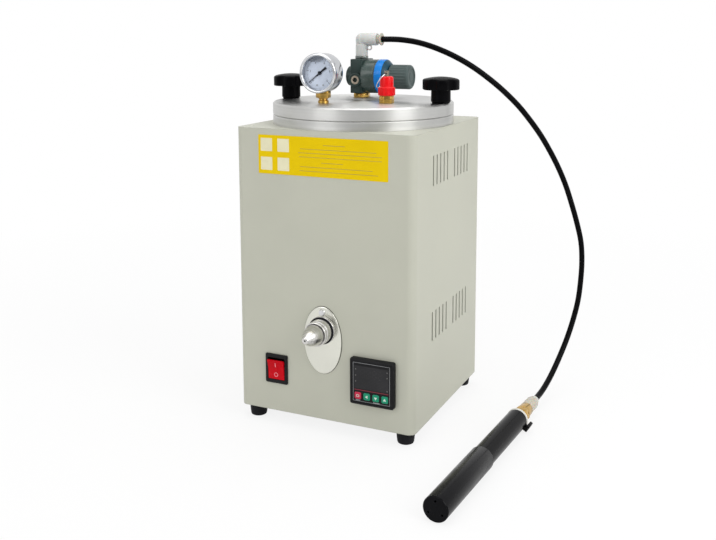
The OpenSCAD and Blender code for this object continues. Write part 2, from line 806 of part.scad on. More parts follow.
module regulator_screw() {
    color([0.6, 0.6, 0.6]) translate([-10, reg_y, reg_axis_z]) facing_right()
        cylinder(r = reg_screw_r, h = 42);
}

// Fluted knob: it is pulled out to free it, and then turns the adjusting screw
module regulator_knob() {
    flutes = 24;
    color([0.3, 0.34, 0.34]) translate([0, reg_y, reg_axis_z]) facing_right() difference() {
        union() {
            translate([0, 0, reg_knob_start]) cylinder(r = reg_knob_r,
                h = reg_knob_end - 2 - reg_knob_start);
            translate([0, 0, reg_knob_end - 2]) cylinder(r1 = reg_knob_r, r2 = reg_knob_r - 2,
                h = 2);
        }
        for (i = [0 : flutes - 1])
            rotate([0, 0, i * 360 / flutes])
                translate([reg_knob_r + 0.35, 0, reg_knob_start - 1]) cylinder(r = 0.8,
                    h = 22, $fn = 16);
        translate([0, 0, reg_knob_start - 1]) cylinder(r = reg_screw_r + 0.05, h = 19);
        translate([0, 0, reg_knob_end - 0.8]) cylinder(r = reg_knob_r - 4, h = 2);
    }
}

module regulator_nipple() {
    color([0.78, 0.62, 0.28]) translate([reg_x, reg_y, 0]) difference() {
        union() {
            translate([0, 0, lid_z - 3]) cylinder(r = reg_port_r, h = lid_top - lid_z + 14);
            translate([0, 0, lid_top]) hex_bar(17, reg_z - reg_h / 2 - lid_top - 0.7);
        }
        translate([0, 0, lid_z - 5]) cylinder(r = 3.5, h = 40);
    }
}

// ---- relief valve --------------------------------------------------------------------

module relief_body() {
    color([0.78, 0.62, 0.28]) translate([relief_x, relief_y, 0]) difference() {
        union() {
            translate([0, 0, lid_z - 3]) cylinder(r = reg_port_r, h = lid_top - lid_z + 4);
            translate([0, 0, lid_top]) hex_bar(relief_hex, relief_cap_z - lid_top);
            translate([0, 0, relief_cap_z - 1]) cylinder(r = 6, h = 9);
        }
        translate([0, 0, lid_top + 3]) cylinder(r = 2.7, h = 40);
        translate([0, 0, lid_z - 5]) cylinder(r = 1.8, h = 40);
    }
}

module relief_cap() {
    color([0.82, 0.07, 0.06]) translate([relief_x, relief_y, 0]) difference() {
        union() {
            translate([0, 0, relief_cap_z]) cylinder(r1 = 8.2, r2 = 9.05, h = 1.2);
            translate([0, 0, relief_cap_z + 1.2]) cylinder(r = 9.05,
                h = relief_step_z - relief_cap_z - 2);
            translate([0, 0, relief_step_z - 0.8]) cylinder(r1 = 9.05, r2 = 7.4, h = 0.8);
            translate([0, 0, relief_step_z - 1]) cylinder(r = 7.15,
                h = relief_top_z - relief_step_z - 0.5);
            translate([0, 0, relief_top_z - 1.5]) cylinder(r1 = 7.15, r2 = 5.6, h = 1.5);
        }
        translate([0, 0, relief_cap_z - 1]) cylinder(r = 6.05, h = 9);
        translate([0, 0, relief_cap_z + 7]) cylinder(r = 5, h = 9);
        translate([0, 0, relief_cap_z - 1]) cylinder(r = 2.7, h = 40);
        // grip flutes round the lower part
        for (i = [0 : 11])
            rotate([0, 0, i * 30 + 15]) translate([9.5, 0, relief_cap_z - 1]) cylinder(r = 1.1,
                h = 8.6, $fn = 16);
    }
}

// Stem that the pull ring lifts; the ring passes through the eye at its top
module relief_stem() {
    color([0.8, 0.72, 0.55]) translate([relief_x, relief_y, 0]) difference() {
        translate([0, 0, lid_top + 4]) cylinder(r = 2.4, h = relief_eye_z + 3 - lid_top - 4);
        translate([0, 0, relief_eye_z]) facing_front() cylinder(r = 1.3, h = 10, center = true);
    }
}

module pull_ring() {
    color([0.85, 0.86, 0.88]) translate([relief_x, relief_y, relief_eye_z])
        rotate([0, -pull_lean, 0]) translate([-pull_ring_r, 0, 0])
            rotate_extrude() translate([pull_ring_r, 0]) circle(pull_wire_r, $fn = 16);
}

// ---- elbow fitting on the regulator --------------------------------------------------

module elbow_fitting() {
    color([0.76, 0.77, 0.76]) difference() {
        union() {
            translate([reg_x, reg_y, elbow_base_z - 8]) cylinder(r = reg_port_r, h = 9);
            translate([reg_x, reg_y, elbow_base_z]) hex_bar(13.2, 3.6);
            translate([reg_x, reg_y, elbow_base_z + 3.6]) cylinder(r = elbow_r,
                h = elbow_swivel_z - elbow_base_z - 3.6);
            // the elbow proper turns on the stem, with a narrow groove between them
            translate([reg_x, reg_y, elbow_swivel_z - 1]) cylinder(r = elbow_r - 0.6, h = 3);
            translate([reg_x, reg_y, elbow_swivel_z + 0.7]) cylinder(r = elbow_r - 0.2,
                h = elbow_z - elbow_swivel_z - 0.7);
            translate([reg_x, reg_y, elbow_z]) sphere(r = elbow_r - 0.1);
            translate([reg_x, reg_y, elbow_z]) facing_right()
                cylinder(r = elbow_r - 0.2, h = 8);
            translate([reg_x + 7, reg_y, elbow_z]) facing_right()
                cylinder(r = elbow_r, h = elbow_end_x - reg_x - 7);
            // eyelet in the crook of the elbow
            translate([reg_x + elbow_r + 2.6, reg_y, elbow_z - elbow_r - 2.4]) facing_front()
                difference() {
                    cylinder(r = 3.1, h = 1.6, center = true);
                    cylinder(r = 1.8, h = 3, center = true);
                }
        }
        translate([reg_x, reg_y, elbow_base_z - 9]) cylinder(r = 2.5, h = elbow_z - elbow_base_z + 9);
        translate([reg_x, reg_y, elbow_z]) facing_right() cylinder(r = 2.5, h = 30);
        translate([-10, reg_y, elbow_z]) facing_right() cylinder(r = 5.15, h = 12);
    }
}

// Release collet: pushed in, it lets go of the hose
module collet_shape(neck_r, lip_r, length) {
    difference() {
        union() {
            translate([0, 0, -length]) cylinder(r = neck_r, h = length - 1);
            translate([0, 0, -2.2]) cylinder(r1 = neck_r, r2 = lip_r, h = 1.2);
            translate([0, 0, -1]) cylinder(r = lip_r, h = 1);
        }
        translate([0, 0, -length - 1]) cylinder(r = 2, h = length + 3);
    }
}

module elbow_collet() {
    color([0.82, 0.83, 0.82]) translate([hose_start_x, reg_y, elbow_z]) facing_right()
        collet_shape(5.05, 7, 11);
}

// ---- hose ----------------------------------------------------------------------------

function along(route, i) = route[max(0, min(len(route) - 1, i))];
function beyond(route, i) =
    i < 0 ? 2 * route[0] - route[1] :
    i >= len(route) ? 2 * route[len(route) - 1] - route[len(route) - 2] : route[i];
// A smooth curve through the route's points, i being the point it has passed and u how far on
function smooth(route, i, u) = let(
    a = beyond(route, i - 1), b = along(route, i), c = along(route, i + 1),
    d = beyond(route, i + 2)
) 0.5 * (2 * b + (c - a) * u + (2 * a - 5 * b + 4 * c - d) * u * u
    + (3 * b - a - 3 * c + d) * u * u * u);
function unit(v) = v / norm(v);
function flat(list) = [for (part = list) for (item = part) item];

module swept_tube(route, radius, sides, steps) {
    last = len(route) - 1;
    line = [
        for (i = [0 : last - 1], k = [0 : steps - 1]) smooth(route, i, k / steps),
        route[last]
    ];
    rings = len(line);
    lean = unit([-1, 1, -1]);
    points = flat([
        for (i = [0 : rings - 1]) let(
            t = unit(line[min(i + 1, rings - 1)] - line[max(i - 1, 0)]),
            side = unit(cross(lean, t)), up = cross(t, side)
        ) [for (k = [0 : sides - 1])
            line[i] + radius * (cos(k * 360 / sides) * side + sin(k * 360 / sides) * up)]
    ]);
    walls = flat([
        for (i = [0 : rings - 2], k = [0 : sides - 1]) let(
            a = i * sides + k, b = i * sides + (k + 1) % sides
        ) [[a, a + sides, b], [b, a + sides, b + sides]]
    ]);
    start_cap = [for (k = [0 : sides - 1]) k];
    end_cap = [for (k = [sides - 1 : -1 : 0]) (rings - 1) * sides + k];
    polyhedron(points = points, faces = concat(walls, [start_cap, end_cap]), convexity = 10);
}

module air_hose() {
    color([0.04, 0.04, 0.04]) swept_tube(hose_route, hose_d / 2, hose_sides, hose_steps);
}

// ---- hand pump -----------------------------------------------------------------------

// Barrel with the rod's guide at its grip end; the brass adapter closes the other end
module pump_barrel() {
    color([0.08, 0.08, 0.08]) on_pump_axis() difference() {
        union() {
            translate([0, 0, head_ring_t]) cylinder(r = barrel_d / 2, h = barrel_len - head_ring_t);
            // lug that stands out beside the hose connection
            rotate([0, 0, -30]) difference() {
                translate([9.5, -3.5, -4.5]) cube([5.6, 7, 13]);
                translate([0, 0, -6]) cylinder(r = barrel_d / 2 + 0.6, h = head_ring_t + 6.2);
            }
        }
        translate([0, 0, -10]) cylinder(r = barrel_bore_r, h = barrel_len + 4);
        translate([0, 0, -1]) cylinder(r = rod_r + 0.08, h = barrel_len + 2);
    }
}

module pump_ring() {
    color([0.9, 0.9, 0.87]) on_pump_axis() difference() {
        cylinder(r = barrel_d / 2 + 0.3, h = head_ring_t);
        translate([0, 0, -1]) cylinder(r = barrel_bore_r, h = head_ring_t + 2);
    }
}

module pump_adapter() {
    color([0.78, 0.62, 0.28]) on_pump_axis() difference() {
        union() {
            translate([0, 0, -1.5]) cylinder(r = 9.8, h = 1.5);
            cylinder(r = barrel_bore_r - 0.02, h = 9);
            translate([0, 0, -14]) hex_bar(16, 12.6);
            translate([0, 0, -28]) cylinder(r1 = 7, r2 = 7.8, h = 14.1);
        }
        translate([0, 0, -29]) cylinder(r = 5.05, h = 13);
        translate([0, 0, -40]) cylinder(r = 2, h = 60);
    }
}

module pump_fitting() {
    color([0.84, 0.84, 0.8]) on_pump_axis() difference() {
        union() {
            translate([0, 0, -36]) cylinder(r = 5, h = 19);
            translate([0, 0, -47]) cylinder(r = 6.8, h = 19);
            translate([0, 0, -49]) cylinder(r1 = 5.9, r2 = 6.8, h = 2);
        }
        translate([0, 0, -60]) cylinder(r = 2.5, h = 60);
        translate([0, 0, -60]) cylinder(r = 4.35, h = 21);
    }
}

module pump_collet() {
    color([0.86, 0.86, 0.83]) on_pump_axis() translate([0, 0, -pump_fittings])
        rotate([180, 0, 0]) collet_shape(4.3, 4.9, 13);
}

// Grip that slides over the barrel, with its end cap
module pump_grip() {
    color([0.06, 0.06, 0.07]) on_pump_axis() difference() {
        union() {
            translate([0, 0, grip_start]) cylinder(r1 = barrel_d / 2 + 0.4, r2 = grip_d / 2,
                h = 1.5);
            translate([0, 0, grip_start + 1.5]) cylinder(r = grip_d / 2,
                h = grip_end - grip_start - 1.5);
            translate([0, 0, grip_end]) cylinder(r = grip_d / 2, h = pump_cap_t - 1);
            translate([0, 0, grip_end + pump_cap_t - 1]) cylinder(r1 = grip_d / 2,
                r2 = grip_d / 2 - 0.7, h = 1);
        }
        translate([0, 0, grip_start - 1]) cylinder(r = barrel_d / 2 + 0.09,
            h = grip_end - grip_start - 6);
        // three air holes in the end cap
        for (a = [90, 210, 330])
            rotate([0, 0, a]) translate([7.5, 0, grip_end - 8]) cylinder(r = 1.1, h = 20, $fn = 24);
        translate([0, 0, grip_end - 8]) cylinder(r = rod_r + 0.02, h = 6);
    }
}

// Piston and its rod, which is held in the grip's end
module pump_piston() {
    color([0.6, 0.61, 0.63]) on_pump_axis() difference() {
        union() {
            translate([0, 0, 12]) cylinder(r = rod_r, h = grip_end - 14);
            translate([0, 0, 10]) cylinder(r = barrel_bore_r - 0.08, h = 10);
        }
        difference() {
            translate([0, 0, 13.5]) cylinder(r = 12, h = 3);
            translate([0, 0, 13]) cylinder(r = 7.4, h = 4);
        }
    }
}

// ---- one line for each node ----------------------------------------------------------

cabinet_shell();
bottom_plate();
rear_cover();
case_screws();
rubber_feet();
wax_pot();
pot_screws();
heater_band();
insulation_jacket();
temperature_probe();
splash_plate();
nozzle_valve();
nozzle_tip();
nozzle_spring();
switch_frame();
switch_rocker();
controller_case();
controller_face();
controller_window();
set_key();
shift_key();
down_key();
up_key();
front_sticker();
mains_inlet();
terminal_block();
lid_seal();
pot_lid();
left_knob();
right_knob();
left_stud();
right_stud();
left_washer();
right_washer();
gauge_case();
gauge_rim();
gauge_dial();
gauge_needle();
gauge_window();
gauge_stem();
regulator_body();
regulator_ring();
regulator_screw();
regulator_knob();
regulator_plugs();
regulator_nipple();
relief_body();
relief_cap();
relief_stem();
pull_ring();
elbow_fitting();
elbow_collet();
air_hose();
pump_barrel();
pump_adapter();
pump_fitting();
pump_collet();
pump_ring();
pump_grip();
pump_piston();
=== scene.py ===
# %% [markdown]
# # A wax injector for jewellery moulds
#
# The real machine is a heated, air-pressurised pot of wax in a sheet-metal cabinet. A rubber
# mould is pressed on the sprung nozzle in front, and wax runs into it. The lid carries a
# pressure gauge, a regulator and a relief valve, and a small hand pump on a hose gives the air.
# The solids and the joints are already made. This file loads them as a fixed frame, gives a
# finish to those that stay, and models again the pieces that are seen from close by.

# %% Load the frame
from math import atan2, cos, hypot, pi, radians, sin

import bmesh
import bpy
from mathutils import Matrix, Vector


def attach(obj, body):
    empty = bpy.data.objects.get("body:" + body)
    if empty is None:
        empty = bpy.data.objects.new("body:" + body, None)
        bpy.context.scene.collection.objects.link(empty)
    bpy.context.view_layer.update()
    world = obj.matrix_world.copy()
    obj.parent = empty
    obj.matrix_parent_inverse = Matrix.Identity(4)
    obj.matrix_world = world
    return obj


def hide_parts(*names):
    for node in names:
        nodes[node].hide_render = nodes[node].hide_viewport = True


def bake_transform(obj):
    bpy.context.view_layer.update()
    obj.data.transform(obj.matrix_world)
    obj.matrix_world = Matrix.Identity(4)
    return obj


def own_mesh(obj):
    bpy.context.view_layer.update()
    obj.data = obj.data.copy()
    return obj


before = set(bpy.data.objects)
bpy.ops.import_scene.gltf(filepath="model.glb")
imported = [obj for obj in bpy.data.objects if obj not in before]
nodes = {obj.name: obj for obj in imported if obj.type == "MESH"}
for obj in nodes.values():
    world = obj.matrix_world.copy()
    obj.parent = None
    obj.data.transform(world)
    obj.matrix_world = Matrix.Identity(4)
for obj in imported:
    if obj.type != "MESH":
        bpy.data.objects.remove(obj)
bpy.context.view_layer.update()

# %% [markdown]
# ## The camera
#
# The photograph is an ordinary product shot from a little above the lid, slightly to the right
# of the front. Its upright edges run together only a little, so the lens is a long one. The
# picture was cropped so that the optical axis lies near the top of the frame, and a vertical
# lens shift does the same here. The place and the angles come from the cabinet's edges. A small
# function puts each new object in the scene, and the camera is the first.

# %% A helper: new objects
def put(name, data):
    """A new object in the scene, at the origin."""
    made = bpy.data.objects.new(name, data)
    bpy.context.scene.collection.objects.link(made)
    return made

# %% Camera
CAMERA_PLACE = Vector((0.42762, -0.9266, 0.42073))
CAMERA_TURN = radians(25.165)
CAMERA_DIP = radians(7.928)
CAMERA_ROLL = radians(-0.195)

forward = Vector((
    -sin(CAMERA_TURN) * cos(CAMERA_DIP), cos(CAMERA_TURN) * cos(CAMERA_DIP), -sin(CAMERA_DIP)
))
level_right = Vector((cos(CAMERA_TURN), sin(CAMERA_TURN), 0))
level_up = level_right.cross(forward)
camera_right = cos(CAMERA_ROLL) * level_right + sin(CAMERA_ROLL) * level_up
camera_up = -sin(CAMERA_ROLL) * level_right + cos(CAMERA_ROLL) * level_up

camera_data = bpy.data.cameras.new("camera")
camera_data.lens = 47.46
camera_data.sensor_width = 36
camera_data.shift_x = 0.0013
camera_data.shift_y = -0.1623
camera_data.clip_start = 0.05
camera_data.clip_end = 50
camera = put("camera", camera_data)
camera_axes = Matrix((camera_right, camera_up, -forward)).transposed().to_4x4()
camera.matrix_world = Matrix.Translation(CAMERA_PLACE) @ camera_axes
bpy.context.scene.camera = camera
bpy.context.scene.view_settings.view_transform = "Standard"
print("camera:", [round(x, 3) for x in camera.location])

# %% [markdown]
# ## Helpers for making pieces
#
# Most fittings on this machine came off a lathe, so most of them can be spun: a profile of
# radius and height is drawn once, and bmesh's spin turns it into a solid. Each piece is drawn
# in millimetres about its own axis, with Z along it, and a matrix then carries the mesh to its
# place. The object itself stays at the origin, as the frame's own pieces do.

# %% Helpers: places, finishing a mesh
MM = 0.001
MERGE_GAP = 0.0005
UP = Matrix.Identity(4)
TO_FRONT = Matrix.Rotation(radians(90), 4, "X")
TO_BACK = Matrix.Rotation(radians(-90), 4, "X")
TO_RIGHT = Matrix.Rotation(radians(90), 4, "Y")


def at(x, y, z, turn=UP):
    return Matrix.Translation((x, y, z)) @ turn


def join_corners(bm):
    """Joins the corners that coincide and turns all faces outwards."""
    bmesh.ops.remove_doubles(bm, verts=bm.verts, dist=MERGE_GAP)
    bmesh.ops.recalc_face_normals(bm, faces=bm.faces)


def finish_mesh(bm, name, material, place=UP, smooth=32):
    """Carries a mesh to its place in metres and shades it; smooth is the angle of sharp edges."""
    join_corners(bm)
    bmesh.ops.transform(bm, matrix=Matrix.Scale(MM, 4) @ place, verts=bm.verts)
    mesh = bpy.data.meshes.new(name)
    bm.to_mesh(mesh)
    bm.free()
    stored = mesh.attributes.get("custom_normal")
    if stored:
        mesh.attributes.remove(stored)
    mesh.shade_smooth()
    mesh.set_sharp_from_angle(angle=radians(smooth))
    mesh.materials.append(material)
    return put(name, mesh)


def keep(piece, body, slot="", *replaced):
    """Fixes a piece to a body and says which solid it stands for; the slot is not used."""
    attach(piece, body)
    if replaced:
        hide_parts(*replaced)
    print(f"{piece.name} on {body}: {len(piece.data.polygons)} faces")
    return piece


def soften(bm, width, segments=2, angle=28):
    """Rounds every edge that is sharper than the angle."""
    join_corners(bm)
    limit = radians(angle)
    sharp = [e for e in bm.edges if e.is_manifold and e.calc_face_angle(0) > limit]
    bmesh.ops.bevel(bm, geom=sharp, offset=width, segments=segments, profile=0.5,
                    affect="EDGES", material=-1, clamp_overlap=True)

# %% Helpers: spun shapes
def spin(bm, profile, steps=64):
    """Spins a closed profile of (radius, height) pairs about Z."""
    corners = [bm.verts.new((r, 0, h)) for r, h in profile]
    edges = [bm.edges.new(pair) for pair in zip(corners, corners[1:] + corners[:1])
             if pair[0].co.x > 0 or pair[1].co.x > 0]
    bmesh.ops.spin(bm, geom=corners + edges, cent=(0, 0, 0), axis=(0, 0, 1),
                   angle=2 * pi, steps=steps, use_merge=True)
    bmesh.ops.remove_doubles(bm, verts=bm.verts, dist=MERGE_GAP)


def turned_piece(name, profile, material, place, steps=64, edge=0.25, smooth=32):
    bm = bmesh.new()
    spin(bm, profile, steps)
    if edge:
        soften(bm, edge)
    return finish_mesh(bm, name, material, place, smooth)

# %% [markdown]
# ## The air hose
#
# A polyurethane hose, a quarter of an inch thick, runs in one free loop from the elbow on the
# regulator to the pump on the bench, and the photograph shows all of it. Such hose is stiff and
# springy, so the curve is wide and even. The route repeats the points of the solid model, and a
# smooth curve in metres is laid through them.

# %% Route of the hose
HOSE_DIAMETER = 0.0064
HOSE_STEPS = 5
hose_route = [
    (3, 44, 402), (10, 44, 402), (16, 44, 402), (27, 44.7, 401.4), (43, 47, 399),
    (61, 52, 393.5), (80, 61, 384.5), (98, 71, 373), (114, 82, 359.5), (128, 94, 345),
    (142, 106, 328), (153, 117, 311), (163, 128, 293), (172, 139, 273), (180, 148, 253),
    (187, 156, 232), (193, 162, 210), (199, 166, 187), (204, 168, 164), (206, 167, 141),
    (206, 163, 118), (205, 156, 96), (202, 146, 75), (198, 133, 55), (193.5, 117, 37.5),
    (190, 101, 25), (187.4, 85, 17), (185.8, 70, 13.2), (184.7342, 57.0022, 12),
    (184.367, 51, 12), (184, 45, 12),
]


def smooth_route(points, steps):
    """Points of a Catmull-Rom curve through the route, with straight ends."""
    p = [Vector(point) * MM for point in points]
    p = [2 * p[0] - p[1]] + p + [2 * p[-1] - p[-2]]
    line = []
    for a, b, c, d in zip(p, p[1:], p[2:], p[3:]):
        for k in range(steps):
            u = k / steps
            line.append(0.5 * (2 * b + (c - a) * u + (2 * a - 5 * b + 4 * c - d) * u * u
                               + (3 * b - a - 3 * c + d) * u ** 3))
    return line + [p[-2]]


hose_line = smooth_route(hose_route, HOSE_STEPS)

# %% [markdown]
# ## Finishes
#
# One recipe serves most of the finishes. Object coordinates feed a broad noise that shifts the
# colour and the gloss a little, and a fine noise that gives the grain in roughness and bump.
# A Bevel node finds the edges: it rounds them for the light, and where the rounded normal
# leaves the flat one, the edge is rubbed a little lighter. Colours are set on the shader.

# %% Helpers: shader nodes
def start_material(name):
    material = bpy.data.materials.new(name)
    material.use_nodes = True
    tree = material.node_tree
    shader = tree.nodes["Principled BSDF"]
    return material, tree, shader


def node(tree, kind, inputs=None, **settings):
    made = tree.nodes.new(kind)
    for key, value in settings.items():
        setattr(made, key, value)
    for key, value in (inputs or {}).items():
        if isinstance(value, bpy.types.NodeSocket):
            tree.links.new(value, made.inputs[key])
        else:
            made.inputs[key].default_value = value
    return made


def noise(tree, vector, scale, detail=3.0, rough=0.5):
    made = node(tree, "ShaderNodeTexNoise",
                {"Vector": vector, "Scale": scale, "Detail": detail, "Roughness": rough})
    return made.outputs["Fac"]


def spread(tree, value, low, high, from_low=0.3, from_high=0.7):
    made = node(tree, "ShaderNodeMapRange", {
        "Value": value, "From Min": from_low, "From Max": from_high,
        "To Min": low, "To Max": high,
    })
    return made.outputs["Result"]


def blend_colour(tree, factor, first, second):
    made = node(tree, "ShaderNodeMix", data_type="RGBA")
    for key, value in ((0, factor), (6, first), (7, second)):
        if isinstance(value, bpy.types.NodeSocket):
            tree.links.new(value, made.inputs[key])
        else:
            made.inputs[key].default_value = value
    return made.outputs[2]


def maths(tree, operation, *values):
    made = node(tree, "ShaderNodeMath", dict(enumerate(values)), operation=operation)
    return made.outputs[0]


def vector_maths(tree, operation, *values):
    made = node(tree, "ShaderNodeVectorMath", dict(enumerate(values)), operation=operation)
    number = operation in ("LENGTH", "DISTANCE", "DOT_PRODUCT")
    return made.outputs["Value" if number else "Vector"]


def shade(colour, by):
    return tuple(min(1, max(0, c * by)) for c in colour) + (1,)

# %% The common recipe
RUBBED_TONE = 0.75
RUBBED_SHARE = 0.6
LEAN_START = 0.15
LEAN_FULL = 0.7


def make_finish(name, colour, rough, metallic=0.0, mottle=0.06, patch=40, grain=900,
                grain_depth=0.02, rough_swing=0.06, edge=0.3, wear=0.0, shine=0.5, **extra):
    """patch and grain are noise scales per metre; edge is a bevel radius in millimetres."""
    material, tree, shader = start_material(name)
    place = tree.nodes.new("ShaderNodeTexCoord").outputs["Object"]
    broad = noise(tree, place, patch, 4)
    fine = noise(tree, place, grain, 2)
    body = blend_colour(tree, spread(tree, broad, 0, 1), shade(colour, 1 - mottle),
                        shade(colour, 1 + mottle))
    rounded = node(tree, "ShaderNodeBevel", {"Radius": edge * MM}, samples=4).outputs[0]
    if wear:
        true_normal = tree.nodes.new("ShaderNodeNewGeometry").outputs["Normal"]
        gap = vector_maths(tree, "DISTANCE", rounded, true_normal)
        rubbed = maths(tree, "MULTIPLY", spread(tree, gap, 0, wear, LEAN_START, LEAN_FULL),
                       spread(tree, broad, 0.3, 1))
        lighter = tuple(c + (RUBBED_TONE - c) * RUBBED_SHARE for c in colour) + (1,)
        body = blend_colour(tree, rubbed, body, lighter)
    tree.links.new(body, shader.inputs["Base Color"])
    both = maths(tree, "ADD", broad, fine)
    tree.links.new(spread(tree, both, rough - rough_swing, rough + rough_swing, 0.7, 1.3),
                   shader.inputs["Roughness"])
    bump = node(tree, "ShaderNodeBump", {"Height": fine, "Strength": 1.0, "Normal": rounded,
                                         "Distance": grain_depth * MM})
    tree.links.new(bump.outputs[0], shader.inputs["Normal"])
    shader.inputs["Metallic"].default_value = metallic
    shader.inputs["Specular IOR Level"].default_value = shine
    for key, value in extra.items():
        shader.inputs[key.replace("_", " ")].default_value = value
    return material

# %% [markdown]
# Turned metal is not even: the tool leaves fine rings about the axis, which stretch every
# highlight. The lid and the pot share one such finish, and the nozzle has another. The rings
# come from a one-dimensional noise of the distance from the axis plus the height, so that they
# run round the top and round the rim alike, and a Mapping node centres them.

# %% Turned metal
def make_turned(name, colour, rough, centre=(0, 0, 0), turn=(0, 0, 0), rings=2600,
                ring_depth=0.012, streak=0.10, edge=0.4, scratches=0.03, scratch_scale=600,
                patch=35, rough_swing=0.07, drawn=0.0):
    """rings, scratch_scale and patch are noise scales per metre; drawn stretches highlights."""
    material, tree, shader = start_material(name)
    place = tree.nodes.new("ShaderNodeTexCoord").outputs["Object"]
    moved = node(tree, "ShaderNodeMapping", {"Vector": place, "Location": centre,
                                             "Rotation": turn}, vector_type="TEXTURE")
    flat = vector_maths(tree, "MULTIPLY", moved.outputs[0], (1, 1, 0))
    radius = vector_maths(tree, "LENGTH", flat)
    height = node(tree, "ShaderNodeSeparateXYZ", {0: moved.outputs[0]}).outputs["Z"]
    along = maths(tree, "ADD", radius, height)
    ring, wide = (
        node(tree, "ShaderNodeTexNoise", {"W": along, "Scale": scale, "Detail": detail},
             noise_dimensions="1D").outputs["Fac"]
        for scale, detail in ((rings, 4.0), (rings / 12, 2.0)))
    patches = noise(tree, place, patch, 5)
    tone = maths(tree, "ADD", wide, patches)
    tree.links.new(blend_colour(tree, spread(tree, tone, 0, 1, 0.7, 1.3),
                                shade(colour, 1 - streak), shade(colour, 1 + streak / 2)),
                   shader.inputs["Base Color"])
    tree.links.new(spread(tree, ring, rough - rough_swing, rough + rough_swing),
                   shader.inputs["Roughness"])
    marks = noise(tree, place, scratch_scale, 6, 0.7)
    relief = maths(tree, "MULTIPLY_ADD", marks, scratches, ring)
    rounded = node(tree, "ShaderNodeBevel", {"Radius": edge * MM}, samples=4)
    bump = node(tree, "ShaderNodeBump", {"Height": relief, "Distance": ring_depth * MM,
                                         "Normal": rounded.outputs[0]})
    tree.links.new(bump.outputs[0], shader.inputs["Normal"])
    shader.inputs["Metallic"].default_value = 1.0
    if drawn:
        around = vector_maths(tree, "CROSS_PRODUCT", (0, 0, 1), flat)
        tree.links.new(around, shader.inputs["Tangent"])
        shader.inputs["Anisotropic"].default_value = drawn
        shader.inputs["Anisotropic Rotation"].default_value = 0.25
    return material

# %% [markdown]
# The cabinet is powder coated: a soft, faintly pebbled paint that hides the steel. Plastics
# differ in gloss and grain: the knobs are smooth with a moulded sheen, the controller's case
# is finely etched, and the feet are dull rubber.

# %% The finishes: cabinet, rubber and plastics
paint = make_finish("grey_powder_coat", (0.495, 0.499, 0.418), 0.46, mottle=0.025, patch=14,
                    grain=1500, grain_depth=0.03, edge=1.2, wear=0.12)
zinc = make_finish("zinc_plate", (0.56, 0.57, 0.58), 0.34, 1.0, mottle=0.14, patch=90,
                   grain=500, grain_depth=0.01)
screw_steel = make_finish("plated_screw", (0.66, 0.66, 0.67), 0.24, 1.0, mottle=0.08, edge=0.3)
rubber = make_finish("black_rubber", (0.010, 0.010, 0.012), 0.62, grain=700, grain_depth=0.04,
                     mottle=0.25, edge=0.6, wear=0.03, shine=0.12)
knob_black = make_finish("moulded_black", (0.0025, 0.0025, 0.003), 0.30, mottle=0.2, grain=1100,
                         grain_depth=0.010, edge=0.5, wear=0.02, shine=0.035)
case_black = make_finish("etched_black", (0.008, 0.008, 0.009), 0.45, mottle=0.2, grain=1700,
                         grain_depth=0.02, edge=0.3, wear=0.04, shine=0.16)
rocker_red = make_finish("rocker_red", (0.56, 0.001, 0.008), 0.24, mottle=0.10, patch=120,
                         grain=600, grain_depth=0.004, edge=0.35, wear=0.10, shine=0.09)
window_dark = make_finish("window_dark", (0.024, 0.024, 0.026), 0.20, mottle=0.15, grain=300,
                          grain_depth=0.002, edge=0.1, shine=0.18)
key_red = make_finish("key_red", (0.52, 0.030, 0.070), 0.42, mottle=0.08, grain=1200, edge=0.3,
                      shine=0.2)
key_green = make_finish("key_green", (0.012, 0.270, 0.150), 0.42, mottle=0.08, grain=1200,
                        edge=0.3, shine=0.2)
key_mark = make_finish("key_mark", (0.62, 0.74, 0.66), 0.5, mottle=0.06, grain=900, edge=0.05)
print_grey = make_finish("print_grey", (0.33, 0.34, 0.35), 0.5, mottle=0.1, grain=900,
                         edge=0.05)
print_red = make_finish("print_red", (0.22, 0.012, 0.030), 0.5, mottle=0.1, grain=900,
                        edge=0.05)
lamp_off = make_finish("lamp_off", (0.13, 0.13, 0.13), 0.4, mottle=0.1, edge=0.05, shine=0.2)
print_black = make_finish("print_black", (0.008, 0.009, 0.014), 0.5, mottle=0.1, edge=0.05,
                          shine=0.15)
digit_off = make_finish("digit_off", (0.030, 0.029, 0.031), 0.25, mottle=0.1, edge=0.05,
                        shine=0.18)
washer_mauve = make_finish("washer_mauve", (0.30, 0.24, 0.27), 0.45, mottle=0.1, edge=0.2)
mark_pale = make_finish("mark_pale", (0.80, 0.22, 0.26), 0.4, mottle=0.06, edge=0.05)
print("finishes so far:", len(bpy.data.materials))

# %% The finishes: sticker, dial and the coloured fittings
sticker_yellow = make_finish("sticker_film", (0.780, 0.550, 0.001), 0.34, mottle=0.03, patch=25,
                             grain=900, grain_depth=0.006, edge=0.1, shine=0.08)
sticker_pale = make_finish("sticker_blank", (0.78, 0.74, 0.50), 0.34, mottle=0.04, edge=0.05)
sticker_rule = make_finish("sticker_rule", (0.50, 0.36, 0.02), 0.4, mottle=0.1, edge=0.05)
dial_face = make_finish("dial_face", (0.60, 0.63, 0.72), 0.38, mottle=0.03, patch=60,
                        grain=1200, grain_depth=0.006, edge=0.1)
block_green = make_finish("regulator_block", (0.016, 0.034, 0.030), 0.34, mottle=0.18, patch=70,
                          grain=900, grain_depth=0.02, edge=0.5, wear=0.10, shine=0.25)
bonnet_green = make_finish("regulator_bonnet", (0.050, 0.078, 0.070), 0.26, mottle=0.14,
                           patch=70, grain=900, grain_depth=0.012, edge=0.4, wear=0.12)
ring_blue = make_finish("ring_blue", (0.002, 0.225, 0.74), 0.26, mottle=0.08, grain=900,
                        grain_depth=0.006, edge=0.4, wear=0.08, shine=0.3)
